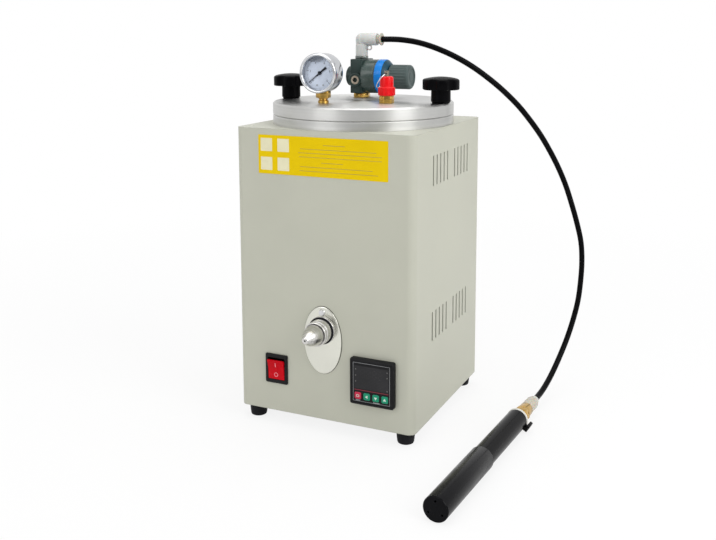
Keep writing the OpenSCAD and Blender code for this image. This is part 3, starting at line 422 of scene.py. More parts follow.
# The collar is the same blue as the ring; this dark teal is painted shade.
collar_painted_shade = make_finish("collar_painted_shade", (0.012, 0.060, 0.095), 0.34, mottle=0.10, grain=900,
                          grain_depth=0.01, edge=0.3, wear=0.10, shine=0.2)
knob_grey = make_finish("fluted_grey", (0.070, 0.098, 0.095), 0.42, mottle=0.10, grain=1300,
                        grain_depth=0.02, edge=0.3, wear=0.16, shine=0.25)
plug_grey = make_finish("plug_plated", (0.34, 0.29, 0.23), 0.30, 1.0, mottle=0.18, edge=0.3)
dull_plate = make_finish("dull_plate", (0.18, 0.20, 0.19), 0.34, 1.0, mottle=0.18, edge=0.3)
cap_red = make_finish("cap_red", (0.80, 0.003, 0.006), 0.26, mottle=0.08, grain=900,
                      grain_depth=0.006, edge=0.4, wear=0.08, shine=0.25)
fitting_grey = make_finish("fitting_grey", (0.60, 0.61, 0.59), 0.32, mottle=0.04, grain=700,
                           grain_depth=0.008, edge=0.4, wear=0.10, Subsurface_Weight=0.15,
                           Subsurface_Scale=0.002)
ring_white = make_finish("ring_white", (0.66, 0.65, 0.60), 0.30, mottle=0.05, grain=700,
                         grain_depth=0.008, edge=0.3)
fitting_pale = make_finish("fitting_pale", (0.50, 0.46, 0.38), 0.26, mottle=0.05, grain=700,
                           grain_depth=0.008, edge=0.4, Subsurface_Weight=0.35,
                           Subsurface_Scale=0.003)
hose_black = make_finish("hose_black", (0.0025, 0.0025, 0.003), 0.28, mottle=0.3, grain=500,
                         grain_depth=0.006, edge=0.1, shine=0.05)
barrel_black = make_finish("barrel_black", (0.003, 0.003, 0.0035), 0.17, mottle=0.2, grain=1400,
                           grain_depth=0.006, edge=0.3, wear=0.06, shine=0.10)
grip_black = make_finish("grip_black", (0.003, 0.003, 0.004), 0.20, mottle=0.25, grain=900,
                         grain_depth=0.008, edge=0.4, wear=0.04, shine=0.08)
print("finishes so far:", len(bpy.data.materials))

# %% The finishes: metals, hidden parts and glass
lid_metal = make_turned("turned_lid", (0.60, 0.60, 0.585), 0.36, drawn=0.75)
chrome = make_finish("polished_steel", (0.62, 0.63, 0.65), 0.11, 1.0, mottle=0.04, patch=60,
                     grain=700, grain_depth=0.003, rough_swing=0.03, edge=0.3)
nickel = make_turned("polished_nickel", (0.68, 0.67, 0.65), 0.25, centre=(0, -0.1, 0.11),
                     turn=(radians(90), 0, 0), rings=1800, ring_depth=0.004, streak=0.12)
plain_steel = make_finish("plain_steel", (0.52, 0.52, 0.53), 0.3, 1.0, mottle=0.1)
heater_sheath = make_finish("heater_sheath", (0.42, 0.39, 0.34), 0.42, 1.0, mottle=0.25,
                            patch=60)
wool = make_finish("mineral_wool", (0.72, 0.69, 0.58), 0.9, mottle=0.16, patch=160, grain=900,
                   grain_depth=0.6, edge=0.1)
ceramic = make_finish("ceramic_white", (0.78, 0.77, 0.72), 0.35, mottle=0.05)
brass = make_finish("turned_brass", (0.58, 0.36, 0.09), 0.22, 1.0, mottle=0.14, patch=110,
                    grain=700, grain_depth=0.006, edge=0.35)
plate_polish = make_finish("plate_polish", (0.70, 0.70, 0.63), 0.20, 1.0, mottle=0.05, patch=30,
                           grain=500, grain_depth=0.004, rough_swing=0.04, edge=0.3)
stem_brass = make_finish("stem_brass", (0.33, 0.29, 0.23), 0.30, 1.0, mottle=0.10, edge=0.2)
print("finishes so far:", len(bpy.data.materials))

# %% The finishes: glass, and the painted shade of the air bubble behind it
glass, glass_tree, glass_shader = start_material("gauge_glass")
glass_place = glass_tree.nodes.new("ShaderNodeTexCoord").outputs["Object"]
glass_tree.links.new(spread(glass_tree, noise(glass_tree, glass_place, 90, 4), 0.03, 0.07),
                     glass_shader.inputs["Roughness"])
glass_shader.inputs["Base Color"].default_value = (0.93, 0.96, 0.98, 1)
glass_shader.inputs["Transmission Weight"].default_value = 1.0
glass_shader.inputs["IOR"].default_value = 1.14
lamp_ray = glass_tree.nodes.new("ShaderNodeLightPath").outputs["Is Shadow Ray"]
clear = glass_tree.nodes.new("ShaderNodeBsdfTransparent").outputs[0]
# Lamp light passes straight through the glass.
passed = node(glass_tree, "ShaderNodeMixShader", {0: lamp_ray, 1: glass_shader.outputs[0],
                                                  2: clear})
glass_tree.links.new(passed.outputs[0], glass_tree.nodes["Material Output"].inputs["Surface"])

# The air bubble has no colour of its own: this grey, half see-through finish is painted shade.
bubble_painted_shade, bubble_tree, bubble_shader = start_material("bubble_painted_shade")
bubble_place = bubble_tree.nodes.new("ShaderNodeTexCoord").outputs["Object"]
bubble_shader.inputs["Base Color"].default_value = (0.16, 0.17, 0.20, 1)
bubble_tree.links.new(spread(bubble_tree, noise(bubble_tree, bubble_place, 120, 3), 0.24, 0.36),
                      bubble_shader.inputs["Alpha"])
bubble_shader.inputs["Roughness"].default_value = 0.2
print("finishes:", len(bpy.data.materials))

# %% [markdown]
# ## Dressing the frame's own solids
#
# Where a solid already has the right shape, or is hidden inside, it only gets its finish. All
# other solids are drawn again further down, and the new pieces replace them.

# %% Dress the solids
wear_list = {
    paint: ["cabinet_shell", "rear_cover"],
    zinc: ["bottom_plate"],
    screw_steel: ["pot_screws"],
    heater_sheath: ["heater_band"],
    wool: ["insulation_jacket"],
    plain_steel: ["temperature_probe", "regulator_screw"],
    case_black: ["mains_inlet"],
    ceramic: ["terminal_block"],
}
for finish, names in wear_list.items():
    for name in names:
        mesh = nodes[name].data
        mesh.materials.clear()
        mesh.materials.append(finish)
dressed = [name for names in wear_list.values() for name in names]
print(f"solids dressed: {len(dressed)}, to be drawn again: {len(nodes) - len(dressed)}")

# %% [markdown]
# ## Making the hose
#
# The tube is a poly curve with a round bevel, made a mesh. The ends are capped and stand face to
# face with the two collets. The lid lifts off with the elbow.

# %% A swept wire or tube
def mesh_of(name, data):
    """The mesh that a curve or a text gives."""
    maker = put(name + "_maker", data)
    bpy.context.view_layer.update()
    mesh = bpy.data.meshes.new_from_object(
        maker.evaluated_get(bpy.context.evaluated_depsgraph_get()))
    bpy.data.objects.remove(maker)
    return mesh


def swept(name, line, radius, sides=4):
    """A round wire along (x, y, z) points, as a mesh; sides is the bevel's resolution."""
    data = bpy.data.curves.new(name, "CURVE")
    data.dimensions = "3D"
    data.bevel_depth = radius
    data.bevel_resolution = sides
    data.use_fill_caps = True
    spline = data.splines.new("POLY")
    spline.points.add(len(line) - 1)
    for spot, point in zip(spline.points, line):
        spot.co = (*point, 1)
    return mesh_of(name, data)

# %% The hose
hose_mesh = swept("hose", hose_line, HOSE_DIAMETER / 2)
hose_mesh.materials.clear()
hose_mesh.materials.append(hose_black)
hose_mesh.shade_smooth()
hose = put("hose", hose_mesh)
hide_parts("air_hose")
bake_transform(hose)
print("hose faces:", len(hose_mesh.polygons))

# %% [markdown]
# ## Copies of the solids, merged and smoothed
#
# The frame's solids arrive as loose triangles, which shade flat. Where a round shape is already
# right, a merged copy of it is made: the triangles are joined, so that the round walls can be
# shaded smooth and only the true edges stay sharp. The normals that the solids carry no longer
# fit once the corners are joined, so they are dropped.

# %% Merged copies
def merged_copy(name, body, slot, material, smooth=30):
    bm = bmesh.new()
    bm.from_mesh(nodes[name].data)
    bmesh.ops.remove_doubles(bm, verts=bm.verts, dist=1e-6)
    bmesh.ops.transform(bm, matrix=Matrix.Scale(1 / MM, 4), verts=bm.verts)
    piece = finish_mesh(bm, name + "_skin", material, smooth=smooth)
    return keep(piece, body, slot, name)


for name, body, slot, material in (
    ("wax_pot", "root", "turned_aluminium", lid_metal),
    ("pot_lid", "lid", "turned_aluminium", lid_metal),
    ("case_screws", "root", "steel_screws", screw_steel),
    ("left_stud", "left_knob", "steel_screws", screw_steel),
    ("right_stud", "right_knob", "steel_screws", screw_steel),
    ("regulator_plugs", "lid", "plug_grey", plug_grey),
    ("relief_stem", "relief_stem", "fitting_brass", stem_brass),
    ("pump_grip", "pump_slider", "grip_black", grip_black),
    ("pump_piston", "pump_slider", "piston_steel", plain_steel),
    ("lid_seal", "root", "black_rubber", rubber),
):
    merged_copy(name, body, slot, material)

# %% The nozzle's spring
# As the tip goes in it presses the spring together towards its rear end; this piece keeps its
# rest shape.
spring = merged_copy("nozzle_spring", "root", "spring_steel", plain_steel, smooth=60)
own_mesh(spring)

# %% [markdown]
# ## Star knobs
#
# Two moulded knobs clamp the lid. The head has six lobes between six scallops, and a low dome.
# Such a shape is not round, so it is lofted: the outline is drawn at a dozen heights and the
# loops are bridged. A soft minimum rounds the corner where a scallop meets the rim. The hub
# below is spun.

# %% A lofted shape
def raised(outline, height):
    return [(x, y, height) for x, y in outline]


def loft(bm, loops, closed=False):
    """Bridges loops of equally many (x, y, z) points, then caps the ends or joins them."""
    rings = []
    for loop in loops:
        corners = [bm.verts.new(point) for point in loop]
        rings.append([bm.edges.new(pair) for pair in zip(corners, corners[1:] + corners[:1])])
    pairs = list(zip(rings, rings[1:] + rings[:1])) if closed else list(zip(rings, rings[1:]))
    for lower, upper in pairs:
        bmesh.ops.bridge_loops(bm, edges=lower + upper)
    if not closed:
        for ring in (rings[0], rings[-1]):
            bmesh.ops.contextual_create(bm, geom=ring)

# %% Outline of a star
def soft_min(a, b, width):
    gap = max(width - abs(a - b), 0) / width
    return min(a, b) - gap * gap * width / 4


KNOB_R = 19.6
LOBES = 6
SCALLOP_R = KNOB_R * 0.34
SCALLOP_REACH = KNOB_R + SCALLOP_R * 0.62
SCALLOP_TURN = radians(-35)
SCALLOP_BLEND = 1.6


def star_outline(limit, corners=120):
    outline = []
    for k in range(corners):
        angle = 2 * pi * k / corners
        pitch = 2 * pi / LOBES
        off = (angle - SCALLOP_TURN + pitch / 2) % pitch - pitch / 2
        aside = SCALLOP_REACH * sin(off)
        reach = limit
        if abs(aside) < SCALLOP_R:
            near = SCALLOP_REACH * cos(off) - (SCALLOP_R ** 2 - aside ** 2) ** 0.5
            reach = soft_min(limit, near, SCALLOP_BLEND)
        outline.append((reach * cos(angle), reach * sin(angle)))
    return outline

# %% Star knobs
KNOB_REACH = 89
HEAD_LEVELS = [
    (18.4, 351.1), (19.2, 351.4), (19.6, 352.1), (19.6, 360.4), (19.35, 361.2), (18.7, 361.9),
    (17.6, 362.4), (15.0, 363.1), (11.5, 363.75), (7.5, 364.3), (3.5, 364.6), (1.2, 364.7),
]
HUB = [(4.1, 338.2), (9.7, 338.2), (10.3, 338.8), (10.2, 349.8), (10.6, 350.8), (11.6, 351.3),
       (4.1, 351.3)]
KNOB_WASHER = [(4.1, 336.9), (9.0, 336.9), (9.4, 337.2), (9.4, 337.8), (9.0, 338.1), (4.1, 338.1)]
for side, body in ((-1, "left_knob"), (1, "right_knob")):
    place = at(side * KNOB_REACH, 0, 0)
    bm = bmesh.new()
    loft(bm, [raised(star_outline(limit), height) for limit, height in HEAD_LEVELS])
    spin(bm, HUB, 72)
    knob = finish_mesh(bm, body + "_star", knob_black, place, smooth=40)
    keep(knob, body, "knob_black", body)
    washer = turned_piece(body + "_washer", KNOB_WASHER, knob_black, place, edge=0)
    keep(washer, body.replace("knob", "washer"), "knob_black", body.replace("knob", "washer"))

# %% [markdown]
# ## Pressure gauge
#
# The gauge is a drawn steel cup with a rim rolled over its window, filled with liquid, so that
# a bubble of air stands at the top behind the glass; its darker look is painted shade, a grey
# see-through sheet in front of the dial. The dial carries a plain scale over three quarters of a
# turn. Case, rim, dial and window are spun about the gauge's own axis, and the scale is made of
# thin raised bars, because print has no thickness that a mesh can show. The stem is a brass
# hexagon with turned ends, like three other fittings further down.

# %% Gauge: case, rim, dial
GAUGE = at(-26, 0, 368.6, TO_FRONT)
keep(turned_piece("gauge_case_cup", [
    (0, 36.0), (17.4, 36.0), (18.9, 36.4), (19.9, 37.3), (20.4, 38.6), (20.5, 40.0),
    (20.5, 52.6), (20.1, 53.5), (18.4, 53.5), (18.4, 38.0), (0, 38.0),
], chrome, GAUGE, steps=96, edge=0), "lid", "polished_steel", "gauge_case")
keep(turned_piece("gauge_rim_rolled", [
    (20.2, 53.2), (20.8, 53.3), (21.0, 53.8), (21.0, 56.6), (20.85, 57.4), (20.3, 58.1),
    (19.5, 58.5), (18.8, 58.4), (18.2, 57.9), (17.8, 57.2), (17.6, 56.5), (18.35, 56.5),
    (18.35, 53.2),
], chrome, GAUGE, steps=96, edge=0, smooth=50), "lid", "polished_steel", "gauge_rim")
keep(turned_piece("gauge_dial_plate", [
    (1.1, 50.2), (18.3, 50.2), (18.3, 51.0), (1.1, 51.0),
], dial_face, GAUGE, edge=0), "lid", "dial_face", "gauge_dial")

# %% Flat shapes and figures
def add_slab(bm, outline, low, high):
    """A flat outline of (x, y) pairs, extruded along Z."""
    face = bm.faces.new([bm.verts.new((x, y, low)) for x, y in outline])
    pushed = bmesh.ops.extrude_face_region(bm, geom=[face])["geom"]
    lifted = [v for v in pushed if isinstance(v, bmesh.types.BMVert)]
    bmesh.ops.translate(bm, vec=(0, 0, high - low), verts=lifted)


def add_disc(bm, x, y, low, high, radius, top_radius, segments):
    """A low cone, cut off at the top, such as a screw's head."""
    made = bmesh.ops.create_cone(bm, cap_ends=True, segments=segments, radius1=radius,
                                 radius2=top_radius, depth=high - low)["verts"]
    bmesh.ops.translate(bm, vec=(x, y, (low + high) / 2), verts=made)


def flat_text(words, size, name, material, place):
    data = bpy.data.curves.new(name, "FONT")
    data.body = words
    data.size = size
    data.extrude = 0.02
    data.align_x = "CENTER"
    data.align_y = "CENTER"
    mesh = mesh_of(name, data)
    bm = bmesh.new()
    bm.from_mesh(mesh)
    bpy.data.meshes.remove(mesh)
    return finish_mesh(bm, name, material, place)

# %% Gauge: scale and numbers
DIAL_TOP = 51.0
SCALE_START = 225
SCALE_SWEEP = 270
DIVISIONS = 50
FIGURES = 5
FIGURE_R = 11.4
FIGURE_SIZE = 2.9


def radial_bar(bm, angle, inner, outer, width, low, high):
    """A thin bar that points away from the middle of the dial."""
    a = radians(angle)
    along, across = Vector((cos(a), sin(a))), Vector((-sin(a), cos(a))) * width / 2
    add_slab(bm, [along * inner - across, along * outer - across, along * outer + across,
                  along * inner + across], low, high)


bm = bmesh.new()
for k in range(DIVISIONS + 1):
    major = k % (DIVISIONS // FIGURES) == 0
    radial_bar(bm, SCALE_START - SCALE_SWEEP * k / DIVISIONS, 13.6 if major else 14.6, 15.8,
               0.5 if major else 0.22, DIAL_TOP - 0.1, DIAL_TOP + 0.03)
keep(finish_mesh(bm, "gauge_scale", print_black, GAUGE), "lid", "needle_black")
for k in range(FIGURES + 1):
    a = radians(SCALE_START - SCALE_SWEEP * k / FIGURES)
    number = flat_text(str(2 * k), FIGURE_SIZE, f"dial_number_{2 * k}", print_black,
                       GAUGE @ at(FIGURE_R * cos(a), FIGURE_R * sin(a), DIAL_TOP + 0.02))
    keep(number, "lid", "needle_black")
bm = bmesh.new()
for x in (-3.6, 3.6):
    add_disc(bm, x, -12.6, DIAL_TOP - 0.05, DIAL_TOP + 0.45, 0.95, 0.8, 20)
keep(finish_mesh(bm, "dial_screws", print_grey, GAUGE), "lid")

# %% Gauge: needle, bubble, window
NEEDLE_TURN = Matrix.Rotation(radians(218), 4, "Z")
bm = bmesh.new()
add_slab(bm, [(-9.4, -1.2), (-9.6, 0), (-9.4, 1.2), (-3, 0.85), (0, 0.9), (3.5, 0.6),
              (16.3, 0.22), (16.4, 0), (16.3, -0.22), (3.5, -0.6), (0, -0.9), (-3, -0.85)],
         51.6, 52.1)
soften(bm, 0.12)
spin(bm, [(0, 46.0), (0.85, 46.0), (0.85, 51.4), (2.1, 51.4), (2.1, 52.3), (1.5, 53.0),
          (0, 53.2)], 32)
keep(finish_mesh(bm, "gauge_pointer", print_black, GAUGE @ NEEDLE_TURN), "needle",
     "needle_black", "gauge_needle")

# The bubble's outline, as a grey see-through sheet in front of the dial: painted shade.
bm = bmesh.new()
upper = [(17.3 * cos(radians(a)), 17.3 * sin(radians(a))) for a in range(68, 137, 4)]
lower = [(-11 + k, 11.2 + 0.026 * (-6.8 + k) ** 2) for k in range(17)]
add_slab(bm, upper + lower, 53.3, 53.5)
keep(finish_mesh(bm, "gauge_bubble_painted_shade", bubble_painted_shade, GAUGE), "lid")
keep(turned_piece("gauge_glass_disc", [
    (0, 54.6), (18.3, 54.6), (18.3, 56.4), (0, 56.4),
], glass, GAUGE, edge=0), "lid", "gauge_glass", "gauge_window")

# %% A hexagon with turned ends
def hexagon_piece(name, material, place, across, low, high, rounding, profiles=(), turn=0):
    """A hexagon measured across its flats, with rounded edges, and shapes spun on its axis."""
    bm = bmesh.new()
    radius = across / 2 / cos(radians(30))
    made = bmesh.ops.create_cone(bm, cap_ends=True, segments=6, radius1=radius,
                                 radius2=radius, depth=high - low)["verts"]
    bmesh.ops.transform(bm, verts=made, matrix=at(
        0, 0, (low + high) / 2, Matrix.Rotation(radians(turn), 4, "Z")))
    soften(bm, rounding)
    for profile in profiles:
        spin(bm, profile, 48)
    return finish_mesh(bm, name, material, place)

# %% Gauge: brass stem
# The brass fittings end below the lid's top by the length of their threads.
LID_TOP = 336.8
THREAD_END = 320.8
keep(hexagon_piece("gauge_stem_brass", brass, at(-26, -44, 0), 14, 342.4, 350.2, 0.7, [[
    (0, THREAD_END), (4.7, THREAD_END), (4.7, LID_TOP), (5.6, 336.9), (5.7, 337.3),
    (5.7, 339.2), (5.2, 339.7), (4.6, 340.0), (4.6, 340.6), (4.9, 340.8), (4.9, 341.3),
    (4.6, 341.5), (4.6, 341.8), (6.2, 342.0), (6.2, 342.7), (0, 342.7),
]]), "lid", "fitting_brass", "gauge_stem")

# %% [markdown]
# ## Regulator
#
# The regulator is a cast block on a brass nipple. To its right lie a round bonnet, a bright
# ring, a tapered collar and the fluted knob that sets the pressure; it is pulled out before it
# turns. The ports that are not used are closed by plugs with a hexagonal socket.

# %% Boxes
def add_box(bm, low, high):
    size = Vector(high) - Vector(low)
    middle = (Vector(high) + Vector(low)) / 2
    made = bmesh.ops.create_cube(bm, size=1)["verts"]
    bmesh.ops.scale(bm, vec=size, verts=made)
    bmesh.ops.translate(bm, vec=middle, verts=made)


def soft_box(name, low, high, rounding, segments, material, place=UP):
    bm = bmesh.new()
    add_box(bm, low, high)
    soften(bm, rounding, segments)
    return finish_mesh(bm, name, material, place)

# %% Regulator: block and bonnet
REG_AXIS = at(0, 44, 360.6, TO_RIGHT)
BOSS_Z = 357.2
keep(soft_box("regulator_block", (-29, 28, 342.2), (-15, 60, 380.2), 0.9, 3, block_green),
     "lid", "regulator_green", "regulator_body")
keep(turned_piece("regulator_bonnet", [
    (0, -15.6), (18.6, -15.6), (18.9, -15.2), (18.9, -1.6), (18.5, -1.3), (18.5, -0.9),
    (18.9, -0.6), (18.9, 0.2), (18.6, 0.6), (4.2, 0.6), (4.2, -12.0), (0, -12.0),
], bonnet_green, REG_AXIS, steps=96, edge=0.15), "lid", "regulator_green")
keep(turned_piece("regulator_end_cap", [
    (0, -37.5), (4.5, -37.5), (5.0, -37.0), (8.0, -37.0), (8.4, -37.5), (9.8, -37.5),
    (10.9, -36.7), (11.0, -36.0), (11.0, -28.6), (0, -28.6),
], block_green, REG_AXIS, steps=72, edge=0.15), "lid", "regulator_green")
for side, turn, low in ((-1, TO_FRONT, -28.4), (1, TO_BACK, 59.6)):
    boss = turned_piece("port_boss_front" if side < 0 else "port_boss_back", [
        (4.85, low), (7.6, low), (7.6, low + 3.2), (7.1, low + 3.9), (5.3, low + 3.9),
        (4.85, low + 3.4),
    ], block_green, at(-22, 0, BOSS_Z, turn), steps=48, edge=0.1)
    keep(boss, "lid", "regulator_green")

# %% Regulator: ring, collar, fluted knob, nipple
keep(turned_piece("regulator_ring_blue", [
    (4.4, 0.6), (18.8, 0.6), (19.2, 1.0), (19.2, 8.7), (18.9, 9.2), (4.4, 9.2),
], ring_blue, REG_AXIS, steps=96, edge=0.12), "lid", "ring_blue", "regulator_ring")
# The collar's finish is the ring's blue with painted shade.
keep(turned_piece("regulator_collar", [
    (4.4, 9.2), (18.5, 9.2), (18.6, 9.5), (18.2, 10.1), (14.7, 13.6), (14.2, 14.0), (4.4, 14.0),
], collar_painted_shade, REG_AXIS, steps=96, edge=0.12), "lid", "regulator_knob_grey")

FLUTES = 24


def fluted_outline(radius, depth, flutes=FLUTES, per_flute=8, turn=0.0):
    outline = []
    for k in range(flutes * per_flute):
        angle = 2 * pi * k / (flutes * per_flute)
        dip = (0.5 + 0.5 * cos(flutes * angle + turn)) ** 2
        outline.append(((radius - depth * dip) * cos(angle), (radius - depth * dip) * sin(angle)))
    return outline


bm = bmesh.new()
loft(bm, [raised(fluted_outline(radius, depth), height) for radius, depth, height in (
    (4.2, 0, 30.0), (4.2, 0, 15.0), (12.9, 0.3, 15.0), (13.4, 0.5, 15.3), (13.5, 0.55, 15.8),
    (13.5, 0.55, 34.6), (13.5, 0.3, 35.6), (13.5, 0.0, 36.2), (13.3, 0, 36.9),
    (12.7, 0, 37.7), (11.8, 0, 38.3), (11.2, 0, 38.5), (9.7, 0, 38.5), (9.4, 0, 38.3),
    (9.3, 0, 37.8), (8.9, 0, 37.7), (5.2, 0, 37.7), (5.0, 0, 37.9), (4.6, 0, 38.0),
    (1.0, 0, 38.0))])
keep(finish_mesh(bm, "regulator_knob_fluted", knob_grey, REG_AXIS, smooth=35),
     "regulator_knob", "regulator_knob_grey", "regulator_knob")
keep(hexagon_piece("regulator_nipple_brass", brass, at(-22, 44, 0), 17, LID_TOP, 341.5, 0.6, [
    [(3.5, THREAD_END), (6.4, THREAD_END), (6.4, 350.4), (3.5, 350.4)],
], turn=12), "lid", "fitting_brass", "regulator_nipple")

# %% [markdown]
# ## Relief valve
#
# A brass hexagon screws into the lid and carries a red cap with grip ribs. Pulling the ring
# lifts the stem and lets the pressure out. The ring is a split ring of two turns of wire,
# so it is one helix, swept by a round section.

# %% Relief valve
RELIEF = at(37, -22, 0)
RIBS = 12
keep(hexagon_piece("relief_body_brass", brass, RELIEF, 14, LID_TOP, 344.6, 0.6, [[
    (2.8, THREAD_END), (6.4, THREAD_END), (6.4, 337.0), (6.8, 344.4), (6.8, 345.0),
    (6.0, 345.0), (6.0, 353.0), (2.8, 353.0),
]]), "lid", "fitting_brass", "relief_body")
bm = bmesh.new()
loft(bm, [raised(fluted_outline(radius, depth, RIBS, 12, pi), height)
          for radius, depth, height in (
              (6.2, 0, 351.0), (6.2, 0, 345.0), (8.2, 0.35, 345.0), (8.8, 0.55, 345.5),
              (9.05, 0.7, 346.3), (9.05, 0.7, 351.6), (9.05, 0.4, 352.5), (8.95, 0.1, 353.1),
              (8.5, 0, 353.6), (7.5, 0, 354.0), (7.2, 0, 354.4), (7.15, 0, 363.2),
              (6.95, 0, 363.9), (6.4, 0, 364.5), (5.8, 0, 364.9), (5.3, 0, 365.0),
              (3.4, 0, 365.0), (3.0, 0, 364.7), (2.8, 0, 360.0))])
keep(finish_mesh(bm, "relief_cap_red", cap_red, RELIEF, smooth=35), "lid", "cap_red",
     "relief_cap")

# %% Pull ring
RING_R = 9
RING_TURNS = 2
RING_PITCH = 0.66
WIRE_R = 0.36
STEPS_PER_TURN = 48
ring_place = at(37, -22, 367.6) @ Matrix.Rotation(radians(-55), 4, "Y") @ at(-RING_R, 0, 0)
ring_line = []
for k in range(STEPS_PER_TURN * RING_TURNS + 1):
    a = 2 * pi * k / STEPS_PER_TURN
    ring_line.append((RING_R * cos(a), RING_R * sin(a),
                      RING_PITCH * (k / STEPS_PER_TURN / RING_TURNS - 0.5)))
bm = bmesh.new()
bm.from_mesh(swept("pull_ring_wire", ring_line, WIRE_R, 2))
keep(finish_mesh(bm, "pull_ring_split", chrome, ring_place, smooth=60), "pull_ring",
     "polished_steel", "pull_ring")

# %% [markdown]
# ## Elbow and its collet
#
# The push-in elbow is moulded in pale grey plastic over a plated hexagon. The elbow proper can
# swivel on its stem, so a groove runs round between them. The hose is gripped inside and is let
# go when the collet is pressed in.

# %% Elbow
ELBOW = at(-22, 44, 0)
ELBOW_Z = 402
bm = bmesh.new()
spin(bm, [(2.5, 383.0), (6.5, 383.0), (6.9, 383.5), (6.9, 396.0), (6.6, 396.4), (6.3, 396.5),
          (6.3, 397.0), (6.5, 397.1), (6.7, 397.5), (6.75, 402.0), (2.5, 402.0)], 64)
made = bmesh.ops.create_uvsphere(bm, u_segments=48, v_segments=24, radius=6.8)["verts"]
bmesh.ops.translate(bm, vec=(0, 0, ELBOW_Z), verts=made)
keep(finish_mesh(bm, "elbow_stem", fitting_grey, ELBOW, smooth=35), "lid", "fitting_grey",
     "elbow_fitting")
keep(turned_piece("elbow_barrel", [
    (0, 0), (6.7, 0), (6.75, 6.6), (6.9, 7.2), (6.9, 18.6), (6.6, 19.3), (6.1, 19.4),
    (5.15, 19.4), (5.15, 10), (0, 10),
], fitting_grey, ELBOW @ at(0, 0, ELBOW_Z, TO_RIGHT), edge=0.15), "lid", "fitting_grey")
keep(turned_piece("elbow_eyelet", [
    (1.8, -0.7), (2.9, -0.7), (3.1, -0.5), (3.1, 0.5), (2.9, 0.7), (1.8, 0.7),
], fitting_grey, at(-12.5, 44, 392.7, TO_FRONT), steps=32, edge=0), "lid", "fitting_grey")
keep(hexagon_piece("elbow_hexagon", dull_plate, ELBOW, 13.2, 380.2, 383.4, 0.4, turn=8), "lid",
     "plug_grey")
keep(turned_piece("elbow_collet_ring", [
    (3.1, -8), (5.05, -8), (5.05, 0.8), (5.6, 1.3), (6.8, 1.9), (7.0, 2.2), (7.0, 2.7),
    (6.7, 3.0), (3.6, 3.0), (3.1, 2.6),
], fitting_pale, at(0, 44, ELBOW_Z, TO_RIGHT), edge=0.08), "elbow_collet", "fitting_grey",
     "elbow_collet")

# %% [markdown]
# ## Hand pump
#
# The pump is a plain black tube: a grip slides over the barrel and drives the piston. At the
# head a pale ring, a washer, a brass adapter and a pale push fitting follow each other on one
# axis, so everything is spun there. The lug beside the head is moulded on the barrel.

# %% Outlines with round corners
def round_outline(width, depth, radius, steps=6):
    """A rectangle of (x, y) points with round corners."""
    corners = []
    for sx, sy, first in ((1, 1, 0), (-1, 1, 90), (-1, -1, 180), (1, -1, 270)):
        for k in range(steps + 1):
            a = radians(first + 90 * k / steps)
            corners.append((sx * (width / 2 - radius) + radius * cos(a),
                            sy * (depth / 2 - radius) + radius * sin(a)))
    return corners


def shifted(outline, x, y):
    return [(px + x, py + y) for px, py in outline]

# %% Pump
PUMP = (at(184, 45, 12) @ Matrix.Rotation(radians(-3.5), 4, "Z") @ TO_FRONT @ at(0, 0, 55))
LUG_TURN = Matrix.Rotation(radians(-30), 4, "Z")
bm = bmesh.new()
add_slab(bm, shifted(round_outline(3.5, 7, 1.2), 13.3, 0), -6.5, 3.4)
add_box(bm, (10.15, -3.5, 3.4), (15.05, 3.5, 6.4))
soften(bm, 0.6, 3)
keep(finish_mesh(bm, "pump_lug", barrel_black, PUMP @ LUG_TURN), "root", "barrel_black")
bm = bmesh.new()
spin(bm, [(9.0, 3.4), (10.5, 3.4), (10.9, 3.8), (10.9, 191.4), (10.4, 192.0), (4.1, 192.0),
          (4.1, 186.0), (9.0, 186.0)], 72)
keep(finish_mesh(bm, "pump_barrel_tube", barrel_black, PUMP), "root", "barrel_black",
     "pump_barrel")
for name, slot, replaced, material, profile in (
    ("pump_head_ring", "fitting_pale", "pump_ring", ring_white, [
        (9.0, 0), (10.8, 0), (11.2, 0.4), (11.2, 3.0), (10.9, 3.4), (9.0, 3.4)]),
    ("pump_fitting_body", "fitting_pale", "pump_fitting", fitting_pale, [
        (4.4, -49), (5.7, -49), (6.3, -48.2), (6.6, -47.0), (6.8, -46.4), (6.8, -36.8),
        (6.5, -36.4), (6.5, -35.8), (6.8, -35.4), (6.8, -28.4), (6.4, -28), (5.0, -28),
        (5.0, -17), (2.5, -17), (2.5, -40), (4.4, -40)]),
):
    piece = turned_piece(name, profile, material, PUMP, edge=0.12)
    keep(piece, "root", slot, replaced)
keep(turned_piece("pump_collet_ring", [
    (3.1, -55), (4.6, -55), (4.9, -54.7), (4.9, -53.9), (4.3, -52.9), (4.3, -42), (3.1, -42),
], fitting_grey, PUMP, edge=0.08), "pump_collet", "fitting_pale", "pump_collet")
keep(hexagon_piece("pump_adapter_brass", brass, PUMP, 16, -13.4, -1.6, 0.7, [
    [(5.1, -28), (6.9, -28), (7.2, -27.4), (7.7, -14.4), (8.2, -14.0), (8.2, -13.2),
     (5.1, -13.2)],
    [(2.0, -1.6), (8.98, -1.6), (8.98, 9.0), (2.0, 9.0)],
], turn=20), "root", "fitting_brass", "pump_adapter")
keep(turned_piece("pump_head_washer", [
    (6, -1.6), (9.5, -1.6), (9.8, -1.3), (9.8, 0), (6, 0),
], washer_mauve, PUMP, edge=0), "root")

# %% [markdown]
# ## Nozzle and splash plate
#
# The nozzle is turned brass under thick nickel: a flange, a collar with a groove, and the
# sprung tip. The oval plate keeps wax off the paint. Both are polished, and what they show is
# mostly the room, so their shape has to be smooth and their edges properly rounded.

